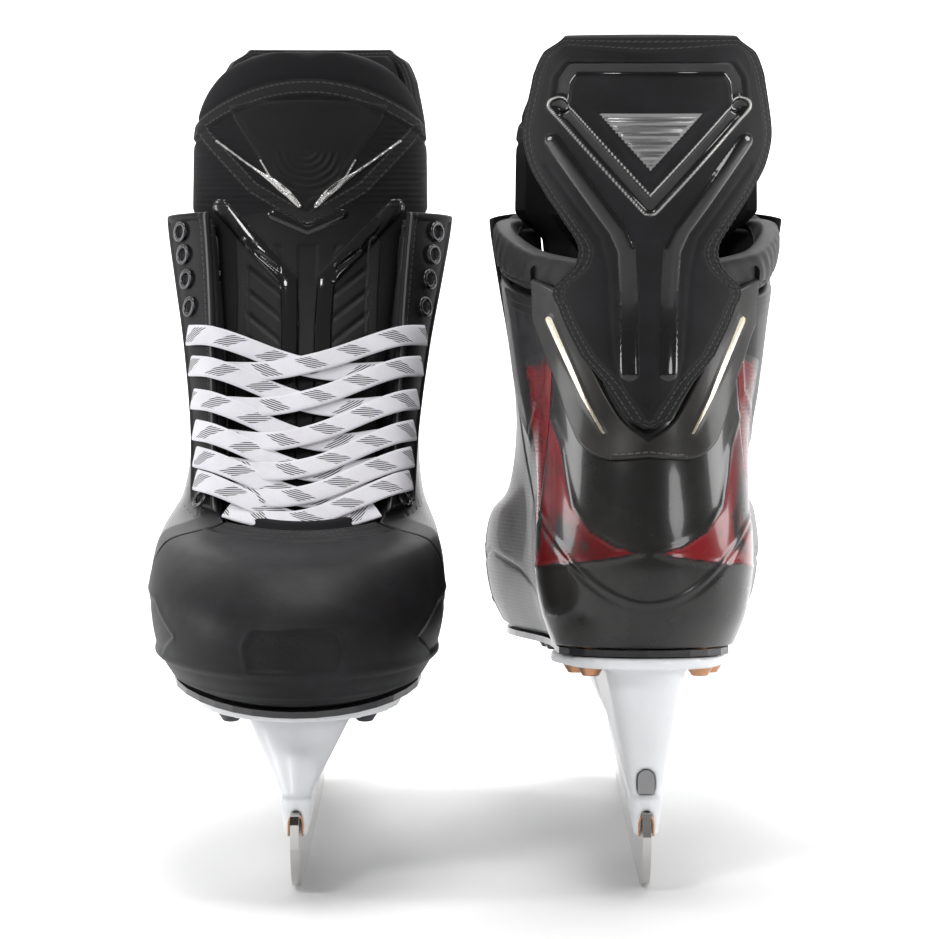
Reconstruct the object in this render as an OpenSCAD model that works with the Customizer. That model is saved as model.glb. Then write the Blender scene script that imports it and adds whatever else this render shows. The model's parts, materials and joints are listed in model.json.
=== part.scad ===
// A pair of ice hockey skates, standing on their runners side by side.
// The right skate faces the front (-Y) and the left skate faces the back (+Y).
// Each skate is drawn as a right skate in its own frame: +y towards the toe, +x towards the
// outer side of the foot, z up from the ice. The left skate is its mirror image.
// Boot surfaces are all cut from one closed form, the last, given by tilted rings.

/* [Boot] */
// Length of the boot form from heel to toe
boot_len = 286; // [250:1:340]
// Width of the boot across the ball of the foot
boot_w = 108; // [92:1:128]
// Height of the cuff above the sole
cuff_h = 150; // [126:1:180]
// Height of the sole under the toe
sole_toe_z = 67; // [60:1:80]
// Height of the sole under the heel
sole_heel_z = 88; // [80:1:104]
// How far the ball of the foot leans to the outer side
ball_lean = 4; // [0:0.5:6]

/* [Walls] */
// Thickness of the outer shell
shell_t = 2.4; // [1.8:0.1:3]
// Thickness of the lining
liner_t = 2; // [1.6:0.1:2.6]
// Clearance between nested layers
gap = 0.45; // [0.4:0.05:0.6]
// Clearance inside the shell, wide enough for the facets of its walls
nest = 1.2; // [1:0.05:1.5]
// Thickness of the vamp under the toe cap
vamp_t = 1.5; // [1.2:0.1:2]
// Thickness of the outsole plate
outsole_t = 2.8; // [2:0.1:3.6]
// Thickness of the footbed
footbed_t = 3.6; // [3:0.1:5]
// Thickness of the collar padding
pad_t = 8; // [6:0.5:10]

/* [Tongue and guard] */
// Half width of the throat at its lower end
throat_low = 29; // [24:1:33]
// Half width of the throat at its upper end
throat_high = 37; // [32:1:41]
// Thickness of the tongue
tongue_t = 8.5; // [7:0.5:11]
// Height of the guard's top edge above the cuff
guard_rise = 66; // [50:1:80]
// Thickness of the tendon guard
guard_t = 3.2; // [2.6:0.1:4]

/* [Laces] */
// Eyelets on each side of a boot
eyelets = 11; // [9:1:12]
// Rows of eyelets that are laced, counted from the toe
laced = 7; // [5:1:8]
// Width of the flat lace
lace_w = 8; // [6:0.5:9]
// Thickness of the flat lace
lace_t = 1.3; // [1:0.1:1.6]

/* [Holder and runner] */
// Thickness of the steel runner
blade_t = 3; // [2.6:0.1:3.4]
// Length of the runner
blade_len = 272; // [240:1:300]
// Height of the holder's rail above the ice
rail_z = 20.5; // [18:0.5:24]
// Clearance of the runner in its slot, each side
slot_clear = 0.2; // [0.15:0.05:0.3]
// Thickness of the holder's flanges
flange_t = 4; // [3:0.5:5]
// Diameter of the sole rivets
rivet_d = 5; // [4:0.5:6]

/* [Pair] */
// Distance between the two runners
pair_pitch = 124; // [118:1:170]

/* [Hidden] */
$fn = 48;
pitch = atan((sole_heel_z - sole_toe_z) / (boot_len * 0.92));
PARTS = ["outsole", "toe_cap", "vamp", "quarter_outer", "quarter_inner", "heel_counter",
         "heel_frame", "guard_stem", "liner", "collar_pad_outer", "collar_pad_inner", "footbed",
         "eyestay_outer", "eyestay_inner", "eyelets", "lace", "tongue_base", "tongue_shield",
         "holder", "front_rivets", "rear_rivets", "tendon_guard", "tendon_pad",
         "tongue_top", "tongue_badge", "runner", "lock_button", "lock_spring"];

// ---- the last ----
// One row for each ring, from the sole up: front y, front z, back y, back z, then half widths
// at the heel, the waist, the ball and the toe, then the rounding of the heel and toe ends.
// y and widths are shares of the boot's length and width, z a share of the cuff's height.
RING = [
    [0.472, 0.000, -0.455, 0.000, 0.300, 0.300, 0.425, 0.380, 0.14, 0.24],
    [0.506, 0.085, -0.485, 0.085, 0.345, 0.340, 0.480, 0.440, 0.15, 0.24],
    [0.498, 0.210, -0.493, 0.180, 0.370, 0.360, 0.500, 0.455, 0.16, 0.25],
    [0.425, 0.320, -0.488, 0.290, 0.365, 0.365, 0.480, 0.425, 0.17, 0.27],
    [0.290, 0.385, -0.474, 0.410, 0.340, 0.370, 0.425, 0.370, 0.19, 0.27],
    [0.205, 0.560, -0.455, 0.540, 0.305, 0.385, 0.405, 0.375, 0.21, 0.26],
    [0.120, 0.790, -0.442, 0.670, 0.285, 0.405, 0.430, 0.410, 0.23, 0.25],
    [0.060, 0.985, -0.440, 0.795, 0.290, 0.415, 0.465, 0.455, 0.24, 0.24],
    [0.030, 1.135, -0.446, 0.910, 0.300, 0.420, 0.490, 0.490, 0.25, 0.24],
    [0.020, 1.250, -0.458, 1.060, 0.315, 0.420, 0.490, 0.490, 0.25, 0.24],
    [0.015, 1.400, -0.475, 1.250, 0.335, 0.420, 0.490, 0.490, 0.25, 0.24],
    [0.010, 1.560, -0.496, 1.440, 0.350, 0.420, 0.490, 0.490, 0.25, 0.24],
];
TOE_V = 4;      // ring at the toe cap's rear edge, where the lacing starts
SHELL_V = 7.05; // ring at the shell's top edge round the heel and ankle
CUFF_V = 8;     // ring at the top of the padded cuff

function mixed(a, b, t) = a + (b - a) * t;
function held(x, lo, hi) = min(max(x, lo), hi);
function unit(p) = p / max(norm(p), 1e-9);
// Smooth curve through the points of a list, one unit of t from each point to the next.
function curve(list, t) =
    let(n = len(list) - 1, i = held(floor(t), 0, n - 1), f = t - i,
        a = list[max(i - 1, 0)], b = list[i], c = list[i + 1], d = list[min(i + 2, n)])
    0.5 * (2 * b + (c - a) * f + (2 * a - 5 * b + 4 * c - d) * f * f
           + (3 * b - a - 3 * c + d) * f * f * f);
function end_round(u, r) = u < r ? sqrt(max(0, 1 - (1 - u / r) ^ 2)) : 1;
function plan_w(r, u) = boot_w * curve([r[4], r[5], r[6], r[7]], u * 3)
                        * end_round(u, r[8]) * end_round(1 - u, r[9]);
function front_z(r) = sole_toe_z + r[1] * cuff_h;
function back_z(r) = sole_heel_z + r[3] * cuff_h;
// A point of the last: angle 0 at the toe, 90 on the outer side, 180 at the heel.
function last0(angle, v) =
    let(r = curve(RING, v), u = (1 + cos(angle)) / 2,
        lean = ball_lean * sin(180 * held(u, 0, 1)) ^ 2 * u * held(1.6 - v / 5, 0, 1))
    [plan_w(r, u) * sign(sin(angle)) + lean,
     mixed(r[2], r[0], u) * boot_len,
     mixed(back_z(r), front_z(r), u)];
function last_normal(angle, v) =
    let(d = 2, e = 0.1, va = max(v - e, 0),
        across = last0(angle + d, v) - last0(angle - d, v),
        up = last0(angle, va + 2 * e) - last0(angle, va))
    unit(cross(up, across));
// The same point, a distance out along the surface's normal.
function last(angle, v, out) = last0(angle, v) + last_normal(angle, v) * out;
// Angle at which the front of a ring is x from the middle, and the same for the back.
function angle_front(v, x) =
    let(r = curve(RING, v), share = held(x / (boot_w * r[7]), 0, 0.995),
        off = r[9] * (1 - sqrt(1 - share ^ 2)))
    acos(held(1 - 2 * off, -1, 1));
function angle_back(v, x) =
    let(r = curve(RING, v), share = held(x / (boot_w * r[4]), 0, 0.995),
        off = r[8] * (1 - sqrt(1 - share ^ 2)))
    180 - acos(held(1 - 2 * off, -1, 1));
// Angle at which a ring crosses a given share of the boot's length.
function angle_at_y(v, y) =
    let(r = curve(RING, v))
    acos(held(2 * (y - r[2]) / (r[0] - r[2]) - 1, -1, 1));

// ---- solids from surfaces ----
function total(list) = list * [for (x = list) 1];
function signed_volume(pts, tris) = total([for (f = tris) cross(pts[f[0]], pts[f[1]]) * pts[f[2]]]) / 6;
// A closed sheet between two surfaces that are functions of (s, t), each from 0 to 1.
module sheet(outer, inner, ns, nt) {
    pts = [for (f = [outer, inner], j = [0:nt], i = [0:ns]) f(i / ns, j / nt)];
    m = (ns + 1) * (nt + 1);
    w = ns + 1;
    quads = [for (j = [0:nt - 1], i = [0:ns - 1]) let(q = j * w + i) [q, q + 1, q + w + 1, q + w]];
    rim = concat([for (i = [0:ns]) i], [for (j = [1:nt]) j * w + ns],
                 [for (i = [ns - 1:-1:0]) nt * w + i], [for (j = [nt - 1:-1:1]) j * w]);
    k = len(rim);
    tris = concat(
        [for (q = quads, h = [0, 1]) h == 0 ? [q[0], q[1], q[2]] : [q[0], q[2], q[3]]],
        [for (q = quads, h = [0, 1]) let(p = q + [m, m, m, m]) h == 0 ? [p[0], p[2], p[1]] : [p[0], p[3], p[2]]],
        [for (i = [0:k - 1], h = [0, 1]) let(a = rim[i], b = rim[(i + 1) % k])
            h == 0 ? [b, a, m + a] : [b, m + a, m + b]]);
    // Faces run clockwise seen from outside whichever way the patch turns.
    polyhedron(pts, signed_volume(pts, tris) > 0 ? [for (f = tris) [f[0], f[2], f[1]]] : tris);
}
// A wall on the last between two offsets, over a patch given as (s, t) -> [angle, v].
module wall(patch, out_a, out_b, ns, nt) {
    sheet(function(s, t) let(p = patch(s, t)) last(p[0], p[1], out_a),
          function(s, t) let(p = patch(s, t)) last(p[0], p[1], out_b), ns, nt);
}
// Puts children on the last with their z axis along the normal.
module on_last(angle, v, out) {
    n = last_normal(angle, v);
    translate(last(angle, v, out))
        rotate([0, acos(n[2]), atan2(n[1], n[0])]) children();
}
// Children drawn flat in the plane of the sole, z up from its underside.
module on_sole(z) {
    translate([0, 0, (sole_toe_z + sole_heel_z) / 2]) rotate([-pitch, 0, 0]) translate([0, 0, z]) children();
}

// ---- boundaries on the last ----
toe_y = 0.235;        // toe cap's rear edge, as a share of the length
seam = 0.9;           // angle left between neighbouring panels
heel_half = 44;       // half angle of the heel counter
function throat(v) = mixed(throat_low, throat_high, held((v - TOE_V) / (CUFF_V - TOE_V), 0, 1));
function cap_angle(v) = angle_at_y(v, toe_y + 0.02 * (TOE_V - v) / TOE_V);
function front_edge(v) = max(cap_angle(v) + seam, v < TOE_V ? 0 : angle_front(v, throat(v)));
// Ring at the shell's top edge: high on the wings beside the tongue, lower round the ankle.
function shell_top(angle) =
    let(f = held((angle - front_edge(7.8) - 6) / 30, 0, 1))
    mixed(CUFF_V - 0.05, SHELL_V, f * f * (3 - 2 * f));
function from_front_edge(v, mm) =
    let(r = curve(RING, v)) angle_at_y(v, mixed(r[2], r[0], (1 + cos(front_edge(v))) / 2) - mm / boot_len);

// ---- boot ----
module outsole() {
    color("dimgray") on_sole(-outsole_t) difference() {
        linear_extrude(outsole_t - gap) sole_outline(0.5);
        rivet_places() cylinder(d = rivet_d + 0.3, h = 4 * outsole_t, center = true);
    }
}
module sole_outline(inset) {
    polygon([for (a = [0:7.5:352.5])
        let(p = last0(a, 0), m = last_normal(a, 0), n = unit([m[0], m[1], 0]))
        [p[0] - n[0] * inset, (p[1] - n[1] * inset) / cos(pitch)]]);
}
module footbed() {
    color("darkslategray") on_sole(gap + 2.2) linear_extrude(footbed_t)
        sole_outline(shell_t + nest + liner_t + 2 * gap);
}
module toe_cap() {
    patch = function(s, t) let(v = t * TOE_V, a = max(cap_angle(v) - seam, 3)) [mixed(-a, a, s), v];
    color([0.16, 0.16, 0.17]) wall(patch, 0, -shell_t, 24, 10);
}
module vamp() {
    inset = shell_t + nest + 0.3;
    patch = function(s, t)
        let(v = mixed(0.35, TOE_V + 0.12, t), a = max(cap_angle(v), angle_front(v, throat_low)) + 1)
        [mixed(-a, a, s), v];
    color([0.08, 0.08, 0.09]) wall(patch, -inset, -inset - vamp_t, 20, 7);
}
module quarter(side) {
    color([0.05, 0.05, 0.06])
        wall(function(s, t) let(v = t * shell_top(mixed(front_edge(7.8), 180 - heel_half, s)))
            [side * mixed(front_edge(v), 180 - heel_half - seam, s), v], 0, -shell_t, 16, 14);
}
module heel_counter() {
    color([0.13, 0.13, 0.13])
        wall(function(s, t) [mixed(180 - heel_half, 180 + heel_half, s), t * SHELL_V], 0, -shell_t, 16, 12);
}
module heel_frame() {
    color([0.2, 0.2, 0.2])
        wall(function(s, t) let(k = abs(2 * s - 1), v = mixed(4.35, 6.75, k ^ 1.25))
            [180 + (2 * s - 1) * mixed(60, 64, t), v + (t - 0.5) * mixed(0.5, 0.7, k)],
            gap + 1.8, gap, 24, 3);
}
module guard_stem() {
    color([0.1, 0.1, 0.1])
        wall(function(s, t) let(v = mixed(5.0, 7.95, t), a = 180 - angle_back(v, mixed(3, 18, sqrt(t))))
            [180 + (2 * s - 1) * a, v], guard_out + guard_t, guard_out, 6, 6);
}
module liner() {
    color([0.12, 0.12, 0.13])
        wall(function(s, t)
            let(b = abs(2 * s - 1), c = mixed(180, front_edge(7.8), b),
                v = mixed(0.3, shell_top(c) - 0.1, t), a = front_edge(v) + 2)
            [mixed(a, 360 - a, s), v], -shell_t - nest, -shell_t - nest - liner_t, 26, 8);
}
// Padding round the ankle, standing in the boot's mouth above the shell's top edge.
module collar_pad(side) {
    a0 = front_edge(CUFF_V) + 9;
    place = function(s, t)
        let(a = mixed(a0, 166, s), low = shell_top(a) + 0.12, high = CUFF_V + 0.06 - 0.2 * s)
        [side * a, mixed(low, max(high, low + 0.1), t)];
    color([0.15, 0.15, 0.16]) sheet(
        function(s, t) let(p = place(s, t)) last(p[0], p[1], mixed(0.6, -2.4, t ^ 3)),
        function(s, t) let(p = place(s, t)) last(p[0], p[1], -pad_t + mixed(0, 2.2, t ^ 3)), 14, 5);
}
stay_t = 1.2;
stay_out = 2 * gap + stay_t;
module eyestay(side) {
    color([0.07, 0.07, 0.08])
        wall(function(s, t) let(v = mixed(TOE_V + 0.1, CUFF_V + 0.1, t))
            [side * mixed(front_edge(v), from_front_edge(v, 19), s), v], stay_out, stay_out - stay_t, 3, 16);
}
// Eyelet i of a side, counted from the toe. Its flange stands off the eyestay's facets.
eyelet_off = 0.45;
eyelet_t = 0.6;
eyelet_d = 8;
lace_off = stay_out + eyelet_off + eyelet_t + gap + 0.1;
function eyelet_v(i) = mixed(TOE_V + 0.22, CUFF_V - 0.25, (i / (eyelets - 1)) ^ 1.15);
function eyelet_angle(i) = from_front_edge(eyelet_v(i), 9);
module eyelets() {
    color("silver") for (side = [1, -1], i = [0:eyelets - 1])
        on_last(side * eyelet_angle(i), eyelet_v(i), stay_out + eyelet_off) difference() {
            cylinder(d = eyelet_d, h = eyelet_t);
            translate([0, 0, -1]) cylinder(d = 0.575 * eyelet_d, h = 3);
        }
}

// ---- tongue ----
// The tongue hangs in the throat below the last's front, tucked under both edges of the throat.
FOLD_V = 8.2; // where the tongue folds, just above the cuff
TONGUE_V = 10.93;
tongue_in = shell_t + nest + liner_t + 2 * gap;
function tongue_half(v) = v < 8 ? throat(v) + 3
    : mixed(throat_high + 3, boot_w * 0.475, held((v - 8) / 1.1, 0, 1)) - 6 * held(v - 10, 0, 1);
function tongue_depth(e, v) = -tongue_in - 4.6 * (1 - e ^ 2) * held((8.6 - v) / 1.6, 0, 1);
// A point a share e of the tongue's half width from its middle, a distance out from its face.
function on_tongue(e, v, out) = let(w = tongue_half(v))
    last(sign(e) * angle_front(v, abs(e) * w), v, tongue_depth(e, v) + out);
module tongue_part(from, to, nt, round_end) {
    // The upper end's corners are rounded by narrowing the last rows.
    row = function(t) let(v = mixed(from, to, 1 - (1 - t) ^ 1.5), d = (to - v) * 24)
        [v, round_end && d < 16 ? 1 - (16 - sqrt(16 ^ 2 - (16 - d) ^ 2)) / 44 : 1];
    face = function(s, t, deep, edge)
        let(e = 2 * s - 1, r = row(t)) on_tongue(e * r[1], r[0], -tongue_t * mixed(deep, edge, e ^ 6));
    sheet(function(s, t) face(s, t, 0, 0.3), function(s, t) face(s, t, 1, 0.65), 12, nt);
}
module tongue_base() { color([0.1, 0.1, 0.11]) tongue_part(TOE_V - 0.6, FOLD_V - 0.04, 12, false); }
module tongue_top() { color([0.1, 0.1, 0.11]) tongue_part(FOLD_V, TONGUE_V, 9, true); }
shield_t = 1.4;
shield_off = gap + 0.25;
shield_out = shield_off + shield_t;
// A plate on the tongue from one ring to another, as wide as half(t) says.
module tongue_plate(half, from, to, nt) {
    face = function(s, t, out) on_tongue((2 * s - 1) * half(t), mixed(from, to, t), out);
    color([0.13, 0.13, 0.14])
        sheet(function(s, t) face(s, t, shield_out), function(s, t) face(s, t, shield_off), 8, nt);
}
module tongue_shield() { tongue_plate(function(t) mixed(0.5, 0.72, t), TOE_V + 0.4, FOLD_V - 0.15, 10); }
module tongue_badge() { tongue_plate(function(t) mixed(0.1, 0.78, t ^ 0.8), FOLD_V + 0.2, TONGUE_V - 0.6, 7); }

// ---- lace ----
// A flat strip swept along points, each given as [point, width direction].
module strip(path, w, t) {
    n = len(path) - 1;
    ring = function(i) let(p = path[i][0], q = unit(path[min(i + 1, n)][0] - path[max(i - 1, 0)][0]),
        a = unit(path[i][1] - q * (path[i][1] * q)), b = cross(q, a))
        [for (k = [[-0.5, -0.5], [0.5, -0.5], [0.5, 0.5], [-0.5, 0.5]]) p + a * k[0] * w + b * k[1] * t];
    pts = [for (i = [0:n], p = ring(i)) p];
    tris = concat(
        [for (i = [0:n - 1], k = [0:3], h = [0, 1]) let(a = i * 4 + k, b = i * 4 + (k + 1) % 4)
            h == 0 ? [a, a + 4, b] : [b, a + 4, b + 4]],
        [[0, 1, 2], [0, 2, 3], [n * 4, n * 4 + 2, n * 4 + 1], [n * 4, n * 4 + 3, n * 4 + 2]]);
    polyhedron(pts, tris);
}
// Span i leaves from beside one eyestay at eyelet i, crosses the tongue and climbs over the
// other eyestay's edge to eyelet i + 1.
lace_tuck = 2.4;   // how far inside the throat's edge a span leaves
lace_bow = 1.7;    // how far the upper of two crossing spans bows out
function lace_span(side, i) =
    let(va = eyelet_v(i), vb = eyelet_v(i + 1),
        on_stay = lace_off + lace_t / 2,
        bow = side > 0 ? lace_bow : 0,
        over = shield_out + gap + lace_t / 2,
        across = function(f)
            let(v = mixed(va, vb, f), x = side * (1 - 2 * f) * (throat(v) - (f < 0.5 ? lace_tuck : -0.4)),
                depth = tongue_depth(x / tongue_half(v), v) + over + bow * sin(180 * f),
                rise = f > 0.5 ? (2 * f - 1) ^ 3 : 0.45 * (1 - 2 * f) ^ 3)
            last(sign(x) * angle_front(v, abs(x)), v, mixed(depth, on_stay, rise)),
        up = function(f)
            let(v = mixed(va, vb, f), a = side * (1 - 2 * f) * 20) last0(a, v + 0.1) - last0(a, v - 0.1),
        edge = function(mm) last(-side * from_front_edge(vb, mm), vb, on_stay),
        dir = last0(-side * 30, vb + 0.1) - last0(-side * 30, vb - 0.1))
    concat([for (k = [0:8]) [across(k / 8), up(k / 8)]], [[edge(3), dir], [edge(8.5), dir]]);
module lace() {
    color("white") for (side = [1, -1], i = [0:laced - 2]) strip(lace_span(side, i), lace_w, lace_t);
}

// ---- tendon guard ----
guard_top_v = CUFF_V + 3 * guard_rise / 66;
guard_out = 2.4 + 2 * gap;
function guard_half(t) = mixed(18, 26, held(t * 2, 0, 1) ^ 1.3);
module guard_plate(from, to, share, out_a, out_b, n) {
    wall(function(s, t) let(q = 1 - (1 - t) ^ 1.5, v = mixed(from, to, q), d = (to - v) * 27,
                            x = share * guard_half(q) - (d < 12 ? 12 - sqrt(12 ^ 2 - (12 - d) ^ 2) : 0))
            [180 + (2 * s - 1) * (180 - angle_back(v, x)), v],
         out_a, out_b, n, n);
}
module tendon_guard() {
    color([0.1, 0.1, 0.1]) guard_plate(CUFF_V, guard_top_v, 1, guard_out + guard_t, guard_out, 10);
}
guard_pad_t = 4.5;
module tendon_pad() {
    out = guard_out - gap;
    color([0.14, 0.14, 0.14]) guard_plate(CUFF_V + 0.35, guard_top_v - 0.15, 0.93, out, out - guard_pad_t, 8);
}

// ---- holder and runner ----
rail_half = 127;
rail_h = 13;
rail_w = [8.4, 12];  // at its bottom and top
rail_top = rail_z + rail_h;
flange_drop = outsole_t + gap;
// Towers and flanges, each as the y and diameter of its two end circles. At the sole they are
// as much narrower than the sole as the rivets need.
function disc(y, less) = [y, 2 * sole_half(y) - less];
front_top = [disc(58, 54), disc(88, 44)];
front_foot = [[50, 11], [120, 9]];
rear_top = [disc(-110, 28), disc(-72, 27)];
rear_foot = [[-120, 10], [-56, 11]];
front_flange = [disc(54, 32), disc(86, 13)];
rear_flange = [disc(-107, 7), disc(-76, -3)];
// Discs on the middle line, each given as [y, diameter], for hulls.
module discs(ends, h) {
    linear_extrude(h) for (e = ends) translate([0, e[0]]) circle(d = e[1], $fn = 32);
}
module flange(ends) {
    hull() on_sole(-flange_drop - flange_t) discs(ends, flange_t);
}
module tower(top, foot) {
    hull() {
        on_sole(-flange_drop - flange_t - 0.5) discs(top, 1);
        translate([0, 0, rail_top]) discs(foot, 0.5);
    }
}
module rail() {
    hull() for (e = [0, 1], w = [rail_w[e]])
        translate([0, 0, rail_z + e * rail_h]) discs([[-rail_half + w / 2, w], [rail_half - w / 2, w]], 0.5);
}
// Rivets, each as [how far it stands in from the sole's edge, y].
rivet_front = [[23.8, 44], [18, 64], [14, 84], [12.5, 105]];
rivet_rear = [[8.2, -112], [7.7, -92], [7.4, -66]];
function sole_half(y) = let(r = RING[0]) plan_w(r, (y / boot_len - r[2]) / (r[0] - r[2]));
module rivet_places(which = "all") {
    places = which == "rear" ? rivet_rear : which == "front" ? rivet_front : concat(rivet_front, rivet_rear);
    for (side = [1, -1], p = places) translate([side * (sole_half(p[1]) - p[0]), p[1], 0]) children();
}
module holder() {
    slot_w = blade_t + 2 * slot_clear;
    color("white") difference() {
        union() {
            flange(front_flange);
            flange(rear_flange);
            tower(front_top, front_foot);
            tower(rear_top, rear_foot);
            rail();
        }
        translate([-slot_w / 2, -rail_half - 5, rail_z - 5])
            cube([slot_w, 2 * rail_half + 10, blade_tang_z - rail_z + 5 + 2 * slot_clear]);
        for (y = [hook_front, hook_rear])
            translate([-slot_w / 2, y[0] - hook_clear, rail_z])
                cube([slot_w, y[1] - y[0] + 2 * hook_clear, hook_z - rail_z + hook_clear]);
        lock_pocket();
        on_sole(-flange_drop - flange_t) rivet_places() cylinder(d = rivet_d + 0.3, h = 30, center = true);
    }
}
blade_tang_z = rail_z + 9;
hook_z = rail_z + 17;
hook_front = [82, 104];
hook_rear = [-94, -72];
hook_clear = 0.6;
rocker_r = 3300;
flat_half = 32;
function rocker(y) = let(d = max(abs(y) - flat_half, 0)) rocker_r - sqrt(rocker_r ^ 2 - d ^ 2);
toe_r = 26;
heel_r = 20;
// A quarter of an arc of the runner's ends, and a hook's outline seen from the side.
function end_arc(y, z, r, angles) = [for (a = angles) [y + r * cos(a), z + r + r * sin(a)]];
function hook(low, high) = [[high, blade_tang_z], [high, hook_z], [low, hook_z], [low, blade_tang_z]];
module runner() {
    y1 = blade_len / 2 + 3;
    y0 = y1 - blade_len;
    toe_c = y1 - toe_r;
    heel_c = y0 + heel_r;
    outline = concat(
        [for (y = [heel_c:20:toe_c]) [y, rocker(y)]],
        end_arc(toe_c, rocker(toe_c), toe_r, [-90:10:0]),
        [[y1 - 3, blade_tang_z]],
        hook(hook_front[0], hook_front[1]),
        hook(hook_rear[0], hook_rear[1]),
        [[y0 + 2, blade_tang_z]],
        end_arc(heel_c, rocker(y0), heel_r, [180:10:260]));
    color("silver") translate([-blade_t / 2, 0, 0]) rotate([90, 0, 90])
        linear_extrude(blade_t) polygon(outline);
}
// ---- blade lock: a sprung button behind an arched window in the rear tower ----
lock_z = 40;
lock_w = 6;
lock_h = 8.4;
lock_rear = -125.5;
module arch(w, h, depth) {
    rotate([90, 0, 180]) linear_extrude(depth) {
        translate([-w / 2, -h / 2]) square([w, h - w / 2]);
        translate([0, h / 2 - w / 2]) circle(d = w);
    }
}
module lock_pocket() {
    translate([0, lock_rear - 6, lock_z]) arch(lock_w + 0.5, lock_h + 0.5, 20);
    translate([0, lock_rear + 13, lock_z]) rotate([-90, 0, 0]) cylinder(d = 6.4, h = 16);
}
module lock_button() {
    color([0.6, 0.6, 0.6]) union() {
        translate([0, lock_rear, lock_z]) arch(lock_w, lock_h, 5);
        translate([0, lock_rear + 4, lock_z]) rotate([-90, 0, 0]) cylinder(d = 2.6, h = 18);
    }
}
module lock_spring() {
    turns = 4;
    steps = 8;
    from = lock_rear + 9.5;
    to = lock_rear + 28;
    coil_r = 2.3;
    wire = 0.7;
    path = [for (k = [0:turns * steps])
        let(a = 360 * k / steps, y = mixed(from, to, k / (turns * steps)))
        [[coil_r * cos(a), y, lock_z + coil_r * sin(a)], [0, 1, 0]]];
    color("gray") strip(path, wire, wire);
}

// ---- placing ----
// How far the boot reaches to its outer (1) and inner (-1) side, and the shift that centres the pair.
function reach(side) = max([for (v = [1.5:0.5:2.5], a = [50:5:90]) side * last(side * a, v, 0)[0]]);
pair_shift = (reach(1) - reach(-1)) / 2;
module skate(side) {
    if (side == "right") translate([-pair_pitch / 2 + pair_shift, 0, 0]) rotate([0, 0, 180]) children();
    else translate([pair_pitch / 2 + pair_shift, 0, 0]) mirror([1, 0, 0]) children();
}
module piece(name) {
    if (name == "outsole") outsole();
    if (name == "toe_cap") toe_cap();
    if (name == "vamp") vamp();
    if (name == "quarter_outer") quarter(1);
    if (name == "quarter_inner") quarter(-1);
    if (name == "heel_counter") heel_counter();
    if (name == "heel_frame") heel_frame();
    if (name == "guard_stem") guard_stem();
    if (name == "liner") liner();
    if (name == "collar_pad_outer") collar_pad(1);
    if (name == "collar_pad_inner") collar_pad(-1);
    if (name == "footbed") footbed();
    if (name == "eyestay_outer") eyestay(1);
    if (name == "eyestay_inner") eyestay(-1);
    if (name == "eyelets") eyelets();
    if (name == "lace") lace();
    if (name == "tongue_base") tongue_base();
    if (name == "tongue_shield") tongue_shield();
    if (name == "holder") holder();
    if (name == "front_rivets") rivets("front");
    if (name == "rear_rivets") rivets("rear");
    if (name == "tendon_guard") tendon_guard();
    if (name == "tendon_pad") tendon_pad();
    if (name == "tongue_top") tongue_top();
    if (name == "tongue_badge") tongue_badge();
    if (name == "runner") runner();
    if (name == "lock_button") lock_button();
    if (name == "lock_spring") lock_spring();
}
module rivets(which) {
    head = 2;
    color(which == "rear" ? "peru" : "dimgray") on_sole(-flange_drop - flange_t) rivet_places(which) {
        translate([0, 0, -head]) cylinder(d1 = rivet_d + 2, d2 = rivet_d + 4.5, h = head);
        translate([0, 0, -0.5]) cylinder(d = rivet_d, h = flange_t + flange_drop + 0.8);
        translate([0, 0, flange_t + flange_drop]) cylinder(d = rivet_d + 4, h = 1);
    }
}
for (side = ["right", "left"], name = PARTS)
    skate(side) piece(name);
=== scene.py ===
"""Looks of a pair of ice hockey skates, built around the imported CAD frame.

Every surface of a boot is cut from the same closed form, the last, that the CAD pieces are cut from:
angle 0 is the toe, 90 the outer side and 180 the heel, and v counts the rings from the sole up.
A skate is built once as a right skate in its own frame (+y to the toe, +x to the outer side, z up
from the ice, in millimetres) and is then placed for both sides.
"""
import json
import math

import bmesh  # noqa: E402
import bpy  # noqa: E402
import numpy as np  # noqa: E402
from bpy.props import FloatVectorProperty, PointerProperty  # noqa: E402
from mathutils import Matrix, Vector  # noqa: E402

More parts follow.
